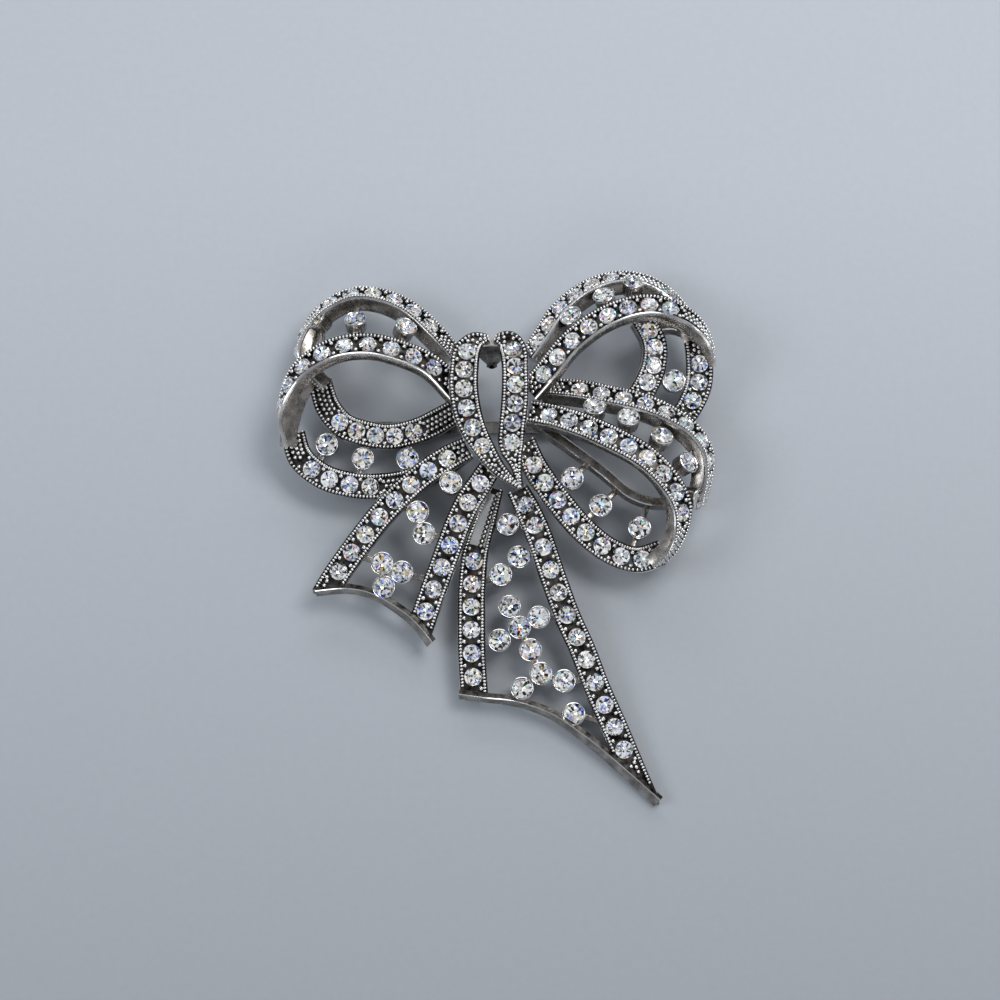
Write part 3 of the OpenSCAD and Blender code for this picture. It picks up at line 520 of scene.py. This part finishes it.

# Painted reflection tones of the foil facets (white, greys, black and coloured fire), and how often each is
# drawn
PAINTED_GLINT_TONES = [
    ((0.98, 0.98, 0.98), 52), ((0.70, 0.71, 0.72), 18), ((0.34, 0.35, 0.36), 10), ((0.03, 0.03, 0.035), 12),
    ((0.40, 0.62, 0.98), 3), ((0.14, 0.20, 0.78), 1), ((0.98, 0.76, 0.45), 1.5), ((0.95, 0.50, 0.32), 0.6),
    ((0.95, 0.92, 0.62), 1.5), ((0.60, 0.93, 0.88), 1), ((0.82, 0.76, 0.96), 1.5),
]
STONE_TILT = 0.03


def stones_piece(name, places, node):
    """One object of cut stones, each at its own place (a matrix and a radius)."""
    draw = random.Random(name)
    bm = bmesh.new()
    for matrix, radius in places:
        turned = matrix @ Matrix.Rotation(draw.uniform(0, math.tau), 4, "Z") \
            @ Matrix.Rotation(draw.gauss(0, STONE_TILT), 4, "X") \
            @ Matrix.Rotation(draw.gauss(0, STONE_TILT), 4, "Y") @ Matrix.Scale(radius, 4)
        add_copy(bm, CROWN, turned)
        add_copy(bm, DISH, turned)
    # Each foil facet gets a painted reflection tone; the glass crown stays white.
    glint_layer = bm.loops.layers.color.new("painted_glint")
    colours, weights = zip(*PAINTED_GLINT_TONES)
    for face in bm.faces:
        tone = draw.choices(colours, weights)[0] if face.material_index == FOIL else (1, 1, 1)
        for loop in face.loops:
            loop[glint_layer] = (*tone, 1)
    mesh = bpy.data.meshes.new(name)
    bm.to_mesh(mesh)
    bm.free()
    mesh.materials.append(glass)
    mesh.materials.append(foil)
    show(name, mesh, node)


def show(name, mesh, node):
    """Puts a mesh in the scene as the piece that stands for a node."""
    piece = bpy.data.objects.new(name, mesh)
    bpy.context.scene.collection.objects.link(piece)
    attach(piece, "root")
    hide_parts(node)


# ---- rails, walls, cups and bars


def swept(bm, places, outline, lanes):
    """Extrudes a closed outline from place to place, and gives each lane of it its material."""
    lane = bm.verts.layers.int.get("lane") or bm.verts.layers.int.new("lane")
    start = places[0]
    verts = [bm.verts.new(start @ Vector((x * MM, 0, z * MM))) for x, z in outline]
    for i, v in enumerate(verts):
        v[lane] = i + 1
    edges = [bm.edges.new((verts[i - 1], verts[i])) for i in range(len(verts))]
    first = list(edges)
    made = []
    for before, after in zip(places, places[1:]):
        out = bmesh.ops.extrude_edge_only(bm, edges=edges)
        verts = [g for g in out["geom"] if isinstance(g, bmesh.types.BMVert)]
        fresh = set(verts)
        edges = [g for g in out["geom"] if isinstance(g, bmesh.types.BMEdge) and set(g.verts) <= fresh]
        made += [g for g in out["geom"] if isinstance(g, bmesh.types.BMFace)]
        bmesh.ops.transform(bm, matrix=after @ before.inverted(), verts=verts)
    for ring in (first, edges):
        made += bmesh.ops.contextual_create(bm, geom=ring)["faces"]
    count = len(outline)
    for face in made:
        touched = {v[lane] - 1 for v in face.verts}
        if len(touched) == 2:
            low, high = sorted(touched)
            face.material_index = lanes[high if (low, high) == (0, count - 1) else low]
    return made


def mirrored(side):
    """The right side that matches a left one."""
    return [(-x, z) for x, z in reversed(side)]


def rail_outline(left, right, thick):
    """Cross-section of a rail; left and right are its sides, beaded or plain; its underside carries painted
    shade, the darker wall metal.
    """
    t = thick / MM
    sides = [BEADED_SIDE if beaded else PLAIN_SIDE for beaded in (left, right)]
    under = [(1.82, -0.75 * t), (1.55, -t), (-1.55, -t), (-1.82, -0.75 * t)]
    outline = sides[0] + BED_POINTS + mirrored(sides[1]) + under
    over = SIDE_LANES[left] + [BED] * (len(BED_POINTS) + 1) + SIDE_LANES[right][::-1]
    return outline, over + [SHADED_WALL] * (len(under) + 1)


def half_width(route, t):
    """Half of a rail's width at parameter t."""
    return RAIL_W / 2 * route.row(t)[4]


def rail_places(route):
    """The places along a rail, each with its width."""
    count = max(4, round(route.length / SWEEP_STEP))
    out = []
    for k in range(count + 1):
        t = route.at_share(k / count)
        share = route.row(t)[4]
        scale = Matrix.Diagonal((share, 1, min(1, share), 1))
        out.append(route.place(t) @ scale)
    return out


class Cut:
    """The plane where a tail's rim crosses a rail: what lies beyond it is left out."""

    def __init__(self, rim, rail):
        marks = [k / RIM_MARKS for k in range(RIM_MARKS + 1)]
        t, at = min(((a, rail.row(b)[:3]) for a in marks for b in marks),
                    key=lambda p: (Vector(rim.row(p[0])[:2]) - Vector(p[1][:2])).length)
        self.at = Vector(at) + TO_FRAME
        self.out = -rim.heading(t).cross(rim.facing(t))
        self.out = self.out if self.out.dot(rail.heading(0.9)) > 0 else -self.out

    def beyond(self, point, margin):
        """Whether a point lies past the plane, or nearer to it than the margin."""
        return (point - self.at).dot(self.out) > -margin


def add_rail(bm, route, thick, left, right, cut):
    """A rail's bed and sides, cut off where its rim crosses it."""
    outline, lanes = rail_outline(left, right, thick)
    faces = swept(bm, rail_places(route), outline, lanes)
    if cut:
        geom = set(faces)
        for f in faces:
            geom.update(f.verts)
            geom.update(f.edges)
        out = bmesh.ops.bisect_plane(bm, geom=list(geom), dist=MERGE_DIST, plane_co=cut.at,
                                     plane_no=cut.out, clear_outer=True)
        edge = [g for g in out["geom_cut"] if isinstance(g, bmesh.types.BMEdge)]
        bmesh.ops.contextual_create(bm, geom=edge)


def add_bead(bm, place, radius, squash=1.0, cut=None):
    """A bead at a place, unless a cut takes it off."""
    if not (cut and cut.beyond(place.translation, radius)):
        add_copy(bm, BEAD, place @ Matrix.Diagonal((radius, radius * squash, radius, 1)))


def add_edge_beads(bm, route, side, cut):
    """The row of beads along one side of a rail: side is -1 for the left and 1 for the right."""
    count = round(route.length / BEAD_PITCH)
    for k in range(count + 1):
        t = route.at_share(k / count)
        place = route.place(t) @ shift(side * (half_width(route, t) - LIP - BEAD_R), 0, 0)
        add_bead(bm, place, BEAD_R, BEAD_SQUASH, cut)


def add_plate(bm, settings, route):
    """A bright plate on the bed of a rail's bare start, with a row of beads in dark rings on it."""
    places = rail_places(route)
    swept(bm, places[2:int(PLATE_SHARE * len(places))], PLATE, [BRIGHT, BRIGHT, BRIGHT, BED])
    for k in range(1, int(PLATE_SHARE * route.length / FILL_PITCH)):
        place = route.place(route.at_share(k * FILL_PITCH / route.length)) @ shift(-RING_SIDE, 0, -RING_SINK)
        ring = Matrix.Diagonal((*(share * FILL_R for share in RING_SIZE), 1))
        add_copy(settings, DARK_BEAD, place @ ring)
        add_bead(settings, place @ shift(0, 0, RING_LIFT), RING_BEAD * FILL_R)


def run_shares(runs):
    """The shares between stones where their grains stand, and the bare stretches between the runs."""
    gaps, bare, end = [], [], 0.0
    for first, last, count in runs:
        step = (last - first) / (count - 1)
        gaps += [first + (i - 0.5) * step for i in range(count + 1)]
        bare.append((end, first - 0.5 * step))
        end = last + 0.5 * step
    return gaps, bare + [(end, 1.0)]


def add_grains(bm, route, runs, cut, plate):
    """Two grains between stones, and rows of grains on the bare stretches; a plate takes the first one."""
    gaps, bare = run_shares(runs)
    for share in gaps:
        t = route.at_share(share)
        for side in (-1, 1):
            across = side * (half_width(route, t) - GRAIN_INSET)
            add_bead(bm, route.place(t) @ shift(across, 0, -GRAIN_SINK), GRAIN_R, cut=cut)
    for start, end in bare[1:] if plate else bare:
        for k in range(int(((end - start) * route.length - FILL_START) / FILL_PITCH)):
            t = route.at_share(start + (FILL_START + (k + 0.5) * FILL_PITCH) / route.length)
            room = 2 * (half_width(route, t) - FILL_MARGIN)
            abreast = max(1, min(MOST_ABREAST, int(room / (FILL_ROOM * FILL_R))))
            for j in range(abreast):
                across = (j - (abreast - 1) / 2) * FILL_APART * FILL_R
                ahead = (j % 2 - 0.5) * 0.5 * FILL_PITCH
                add_bead(bm, route.place(t) @ shift(across, ahead, -FILL_SINK), FILL_R, cut=cut)


def stone_places(route, runs):
    """The place and radius of each small stone in a rail's runs."""
    out = []
    for first, last, count in runs:
        for i in range(count):
            t = route.at_share(first + (last - first) * i / (count - 1))
            room = 2 * half_width(route, t) - STONE_MARGIN
            out.append((route.place(t) @ shift(0, 0, -STONE_SINK), min(STONE_D, room) / 2))
    return out


# The top of a wall or rim across its width, as shares of the width
STRIP_TOP = [(-0.5, -0.12), (-0.38, 0.0), (0.38, 0.0), (0.5, -0.12)]


def add_strip(bm, route, width, thick, top):
    """A wall or rim with softened bright edges; top is the material of its face; its sides and underside
    carry painted shade, the darker wall metal.
    """
    w, t = width / MM, thick / MM
    outline = [(x * w, z * w) for x, z in STRIP_TOP] + [(0.5 * w, -t), (-0.5 * w, -t)]
    count = max(6, round(route.length / SWEEP_STEP))
    places = [route.place(route.at_share(k / count)) for k in range(count + 1)]
    swept(bm, places, outline, [BRIGHT, top, BRIGHT, SHADED_WALL, SHADED_WALL, SHADED_WALL])


def cup_place(first, second, cup):
    """Where a cup stands between two rails, facing between their faces."""
    a, b, s = first.place(cup[0]), second.place(cup[1]), cup[2]
    up = (a.col[2].to_3d() * (1 - s) + b.col[2].to_3d() * s).normalized()
    along = a.col[1].to_3d() * (1 - s) + b.col[1].to_3d() * s
    ahead = (along - up * along.dot(up)).normalized()
    return standing(a.translation * (1 - s) + b.translation * s, ahead, up)


# The cup from the middle of its foot up, over its rim and down into its seat: radius and height in mm
CUP_PROFILE = [
    (0.0, -2.2), (1.30, -2.2), (1.50, -2.05), (1.56, -1.6), (1.60, -0.7), (1.66, -0.35), (1.70, -0.08),
    (1.68, 0.0), (1.62, 0.04), (1.56, 0.0), (1.53, -0.20), (1.45, -0.55), (0.0, -0.60),
]
CUP_STEPS, FLUTE_EVERY, FLUTE_SHARE = 40, 4, 0.93
FLUTE_LOW, FLUTE_HIGH, SEAT_R = -1.9 * MM, -0.5 * MM, 1.52 * MM
SEAT_LOW, RIM_LOW = -1 * MM, -0.25 * MM


def make_cup():
    """A round cup with a thin rolled rim and a fluted wall, the wall in painted shade, the darker wall
    metal.
    """
    bm = bmesh.new()
    verts = [bm.verts.new((r * MM, 0, z * MM)) for r, z in CUP_PROFILE]
    edges = [bm.edges.new(pair) for pair in zip(verts, verts[1:])]
    bmesh.ops.spin(bm, geom=verts + edges, cent=(0, 0, 0), axis=(0, 0, 1), angle=math.tau,
                   steps=CUP_STEPS, use_merge=True)
    bmesh.ops.remove_doubles(bm, verts=bm.verts, dist=MERGE_DIST)
    for v in bm.verts:
        column = round(math.atan2(v.co.y, v.co.x) / math.tau * CUP_STEPS)
        on_wall = FLUTE_LOW < v.co.z < FLUTE_HIGH and math.hypot(v.co.x, v.co.y) > SEAT_R
        if on_wall and column % FLUTE_EVERY in (1, 2):
            v.co.x *= FLUTE_SHARE
            v.co.y *= FLUTE_SHARE
    for face in bm.faces:
        middle = face.calc_center_median()
        inside = math.hypot(middle.x, middle.y) < SEAT_R and middle.z > SEAT_LOW
        face.material_index = BED if inside else BRIGHT if middle.z > RIM_LOW else SHADED_WALL
    return finished(bm, "cup", 40)


CUP = make_cup()


def add_bar(bm, a, b, face):
    """A bar between two points, with softened edges, all in painted shade, the darker wall metal."""
    ahead = (b - a).normalized()
    up = (face - ahead * face.dot(ahead)).normalized()
    place = standing((a + b) / 2, ahead, up)
    size = Matrix.Diagonal((LINK_W, (b - a).length, LINK_T, 1))
    verts = set(bmesh.ops.create_cube(bm, size=1, matrix=place @ size)["verts"])
    for side in {f for v in verts for f in v.link_faces}:
        side.material_index = SHADED_WALL
    bmesh.ops.bevel(bm, geom=list({e for v in verts for e in v.link_edges}), offset=BAR_BEVEL, segments=2,
                    profile=0.5, affect="EDGES", material=-1)


def low_spot(place):
    """The point under a place where a bar meets it."""
    return place.translation - place.col[2].to_3d() * CUP_H * LINK_SHARE


def add_cups(bm, first, second, cups, pairs):
    """The cups between two rails and the bars that hold them."""
    places = [cup_place(first, second, c) for c in cups]
    for cup, place in zip(cups, places):
        add_copy(bm, CUP, place)
        for rail, t, joined in ((first, cup[0], cup[3]), (second, cup[1], cup[4])):
            if joined:
                add_bar(bm, low_spot(place), low_spot(rail.place(t)), place.col[2].to_3d())
    for one, two in pairs:
        add_bar(bm, low_spot(places[one]), low_spot(places[two]), places[one].col[2].to_3d())
    return places


# ---- the ribbons

routes = {}
for length, ribbon_rows in [
    (LEFT_LOOP_LEN, {
        "left_top_front": LEFT_TOP_FRONT, "left_top_back": LEFT_TOP_BACK, "left_end_wall": LEFT_END_WALL,
        "left_base_front": LEFT_BASE_FRONT, "left_base_back": LEFT_BASE_BACK,
    }),
    (RIGHT_UPPER_LEN, {
        "upper_top_front": UPPER_TOP_FRONT, "upper_top_back": UPPER_TOP_BACK,
        "upper_base_front": UPPER_BASE_FRONT, "upper_base_back": UPPER_BASE_BACK,
        "upper_end_wall": UPPER_END_WALL,
    }),
    (RIGHT_LOWER_LEN, {
        "lower_top_front": LOWER_TOP_FRONT, "lower_top_back": LOWER_TOP_BACK,
        "lower_base_front": LOWER_BASE_FRONT, "lower_base_back": LOWER_BASE_BACK,
    }),
    (KNOT_LEN, {"knot_left": KNOT_LEFT, "knot_right": KNOT_RIGHT, "knot_end_wall": KNOT_END_WALL}),
    (LEFT_TAIL_LEN, {
        "left_tail_left": LEFT_TAIL_LEFT, "left_tail_right": LEFT_TAIL_RIGHT, "left_tail_rim": LEFT_TAIL_RIM,
    }),
    (RIGHT_TAIL_LEN, {
        "right_tail_left": RIGHT_TAIL_LEFT, "right_tail_right": RIGHT_TAIL_RIGHT,
        "right_tail_rim": RIGHT_TAIL_RIM,
    }),
]:
    for name, rows in ribbon_rows.items():
        routes[name] = Route(rows, length)

# rails: route, thickness, left and right side beaded, runs of stones (first share, last share, count);
# walls: route, width, thickness; cups: the two rails, the cups between them, the cups joined in pairs;
# rim: the wall that cuts the rails off.
RIBBONS = {
    "left_loop": {
        "rails": [
            ("left_top_front", RAIL_T, False, True, [(0.14, 0.85, 9)]),
            ("left_top_back", BACK_RAIL_T, True, True, [(0.155, 0.583, 6), (0.745, 0.82, 2)]),
            ("left_base_front", RAIL_T, True, True, [(0.20, 0.497, 4)]),
            ("left_base_back", RAIL_T, True, True, [(0.262, 0.688, 5)]),
        ],
        "walls": [("left_end_wall", LEFT_WALL_SHARE * WALL_W, BACK_RAIL_T / 2)],
        "cups": [("left_top_front", "left_top_back", LEFT_TOP_CUPS, []),
                 ("left_base_front", "left_base_back", LEFT_BASE_CUPS, [])],
    },
    "right_upper_loop": {
        "rails": [
            ("upper_top_front", RAIL_T, True, False, [(0.09, 0.69, 8)]),
            ("upper_top_back", BACK_RAIL_T, True, False, [(0.075, 0.50, 6)]),
            ("upper_base_front", RAIL_T, True, True, [(0.285, 0.69, 3)]),
            ("upper_base_back", RAIL_T, True, True, [(0.14, 0.745, 4)]),
        ],
        "walls": [("upper_end_wall", WALL_W, BACK_RAIL_T)],
        "cups": [("upper_top_front", "upper_top_back", UPPER_TOP_CUPS, []),
                 ("upper_base_front", "upper_base_back", UPPER_BASE_CUPS, [])],
    },
    "right_lower_loop": {
        "rails": [
            ("lower_top_front", RAIL_T, True, True, [(0.085, 0.76, 9)]),
            ("lower_top_back", BACK_RAIL_T, True, True, [(0.155, 0.82, 8)]),
            ("lower_base_front", RAIL_T, True, True, [(0.135, 0.895, 8)]),
        ],
        "walls": [("lower_base_back", WALL_W, BACK_RAIL_T)],
        "cups": [("lower_top_front", "lower_top_back", LOWER_TOP_CUPS, []),
                 ("lower_base_front", "lower_base_back", LOWER_BASE_CUPS, [])],
    },
    "knot": {
        "rails": [
            ("knot_left", KNOT_RAIL_T, True, True, [(0.159, 0.708, 6)]),
            ("knot_right", KNOT_RAIL_T, True, True, [(0.15, 0.735, 6)]),
        ],
        "walls": [("knot_end_wall", WALL_W, BOW_DEPTH / 2)],
        "cups": [],
    },
    "left_tail": {
        "rails": [
            ("left_tail_left", RAIL_T, True, True, [(0.105, 0.809, 8)]),
            ("left_tail_right", RAIL_T, True, True, [(0.113, 0.832, 7)]),
        ],
        "walls": [("left_tail_rim", RIM_W, RAIL_T)],
        "cups": [("left_tail_left", "left_tail_right", LEFT_TAIL_CUPS, LEFT_TAIL_PAIRS)],
        "rim": "left_tail_rim",
    },
    "right_tail": {
        "rails": [
            ("right_tail_left", RAIL_T, True, True, [(0.342, 0.862, 6)]),
            ("right_tail_right", RAIL_T, True, True, [(0.053, 0.82, 12)]),
        ],
        "walls": [("right_tail_rim", RIM_W, RAIL_T)],
        "cups": [("right_tail_left", "right_tail_right", RIGHT_TAIL_CUPS, RIGHT_TAIL_PAIRS)],
        "rim": "right_tail_rim",
    },
}

cup_count = 0
for ribbon, made_of in RIBBONS.items():
    bm = bmesh.new()
    settings = bmesh.new()
    stones = []
    for rail, thick, left_beaded, right_beaded, runs in made_of["rails"]:
        route = routes[rail]
        cut = Cut(routes[made_of["rim"]], route) if "rim" in made_of else None
        add_rail(bm, route, thick, left_beaded, right_beaded, cut)
        for side, beaded in ((-1, left_beaded), (1, right_beaded)):
            if beaded:
                add_edge_beads(settings, route, side, cut)
        has_plate = rail == "right_tail_left"
        add_grains(settings, route, runs, cut, has_plate)
        if has_plate:
            add_plate(bm, settings, route)
        stones += stone_places(route, runs)
    for wall, width, thick in made_of["walls"]:
        # Wall tops get painted shade, the darker wall metal; rim tops get the blackened bed.
        add_strip(bm, routes[wall], width, thick, BED if wall.endswith("rim") else SHADED_WALL)
    cup_places = []
    for first, second, cups, pairs in made_of["cups"]:
        cup_places += add_cups(bm, routes[first], routes[second], cups, pairs)
    settings.from_mesh(finished(bm, ribbon + "_metal", 35))
    mesh = bpy.data.meshes.new(ribbon + "_casting")
    settings.to_mesh(mesh)
    settings.free()
    for material in (silver, bed, bright, shaded_wall_metal):
        mesh.materials.append(material)
    show(ribbon + "_casting", mesh, ribbon)
    stones_piece(ribbon + "_brilliants", stones, ribbon + "_stones")
    for place in cup_places:
        cup_count += 1
        stone = (place @ shift(0, 0, -CUP_STONE_SINK), CUP_D / 2 - CUP_WALL - CUP_STONE_PLAY)
        stones_piece(f"cup_brilliant_{cup_count}", [stone], f"cup_stone_{cup_count}")

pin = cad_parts["pin_back"]
# The pin bar takes the darkened steel with its painted shade and reflection.
pin.data.materials.clear()
pin.data.materials.append(shaded_steel)

# ---- floor, lights and camera

# The card's painted shade at its front and its back, and where these are along Y
CARD_FRONT, CARD_BACK, PAINTED_SHADE_FRONT, PAINTED_SHADE_BACK = -85 * MM, 60 * MM, 0.66, 0.93


def make_floor():
    """A pale card with painted shade that darkens it towards the front, as the photograph's does."""
    bm = bmesh.new()
    bmesh.ops.create_grid(bm, x_segments=1, y_segments=1, size=1.2)
    mesh = bpy.data.meshes.new("floor")
    bm.to_mesh(mesh)
    bm.free()
    material, nodes, links, shader = new_material("pale_card_painted_shade")
    place = nodes.new("ShaderNodeTexCoord")
    grain = nodes.new("ShaderNodeTexNoise")
    grain.inputs["Scale"].default_value = 900
    tone = nodes.new("ShaderNodeValToRGB")
    tone.color_ramp.elements[0].color = (0.49, 0.53, 0.585, 1)
    tone.color_ramp.elements[1].color = (0.53, 0.57, 0.625, 1)
    links.new(place.outputs["Object"], grain.inputs["Vector"])
    links.new(grain.outputs["Fac"], tone.inputs["Fac"])
    split = nodes.new("ShaderNodeSeparateXYZ")
    depth = nodes.new("ShaderNodeMapRange")
    depth.inputs["From Min"].default_value, depth.inputs["From Max"].default_value = CARD_FRONT, CARD_BACK
    depth.inputs["To Min"].default_value, depth.inputs["To Max"].default_value = PAINTED_SHADE_FRONT, PAINTED_SHADE_BACK
    shade = nodes.new("ShaderNodeVectorMath")
    shade.operation = "SCALE"
    links.new(place.outputs["Object"], split.inputs["Vector"])
    links.new(split.outputs["Y"], depth.inputs["Value"])
    links.new(tone.outputs["Color"], shade.inputs[0])
    links.new(depth.outputs["Result"], shade.inputs["Scale"])
    links.new(shade.outputs["Vector"], shader.inputs["Base Color"])
    shader.inputs["Roughness"].default_value = 0.7
    mesh.materials.append(material)
    floor = bpy.data.objects.new("floor", mesh)
    bpy.context.scene.collection.objects.link(floor)


make_floor()


def soft_light(name, at, size, power, colour):
    """A soft rectangle of light that looks at the middle of the floor."""
    light = bpy.data.lights.new(name, "AREA")
    light.shape = "RECTANGLE"
    light.size, light.size_y = size
    light.energy = power
    light.color = colour
    lamp = bpy.data.objects.new(name, light)
    lamp.location = at
    lamp.rotation_euler = (-Vector(at)).to_track_quat("-Z", "Y").to_euler()
    bpy.context.scene.collection.objects.link(lamp)


soft_light("key_light", (0.22, 0.20, 0.45), (0.30, 0.22), 1.38, (1, 0.98, 0.96))
soft_light("fill_light", (-0.35, -0.05, 0.35), (0.25, 0.20), 0.6, (0.93, 0.96, 1))
soft_light("back_light", (0.0, 0.45, 0.25), (0.5, 0.12), 0.6, (0.95, 0.97, 1))
soft_light("front_light", (0.10, -0.45, 0.30), (0.35, 0.10), 0.3, (1, 1, 1))

world = bpy.data.worlds.new("studio")
world.use_nodes = True
world.node_tree.nodes["Background"].inputs["Color"].default_value = (0.86, 0.89, 0.93, 1)
world.node_tree.nodes["Background"].inputs["Strength"].default_value = 0.37
bpy.context.scene.world = world
bpy.context.scene.view_settings.view_transform = "Standard"

# The photograph looks down from 75 degrees, 350 mm away, at a point in front of the knot's middle
ELEVATION, DISTANCE = math.radians(75), 0.350
TARGET = Vector((-0.3156 * MM, -11.1596 * MM, 4.0 * MM)) + Vector((TO_FRAME.x, TO_FRAME.y, 0))
camera_data = bpy.data.cameras.new("camera")
camera_data.lens, camera_data.sensor_width = 84.7, 36
camera_data.clip_start, camera_data.clip_end = 0.01, 10
camera = bpy.data.objects.new("camera", camera_data)
away = Vector((0, -math.cos(ELEVATION), math.sin(ELEVATION)))
camera.location = TARGET + away * DISTANCE
camera.rotation_euler = (-away).to_track_quat("-Z", "Y").to_euler()
bpy.context.scene.collection.objects.link(camera)
bpy.context.scene.camera = camera

bpy.context.view_layer.update()
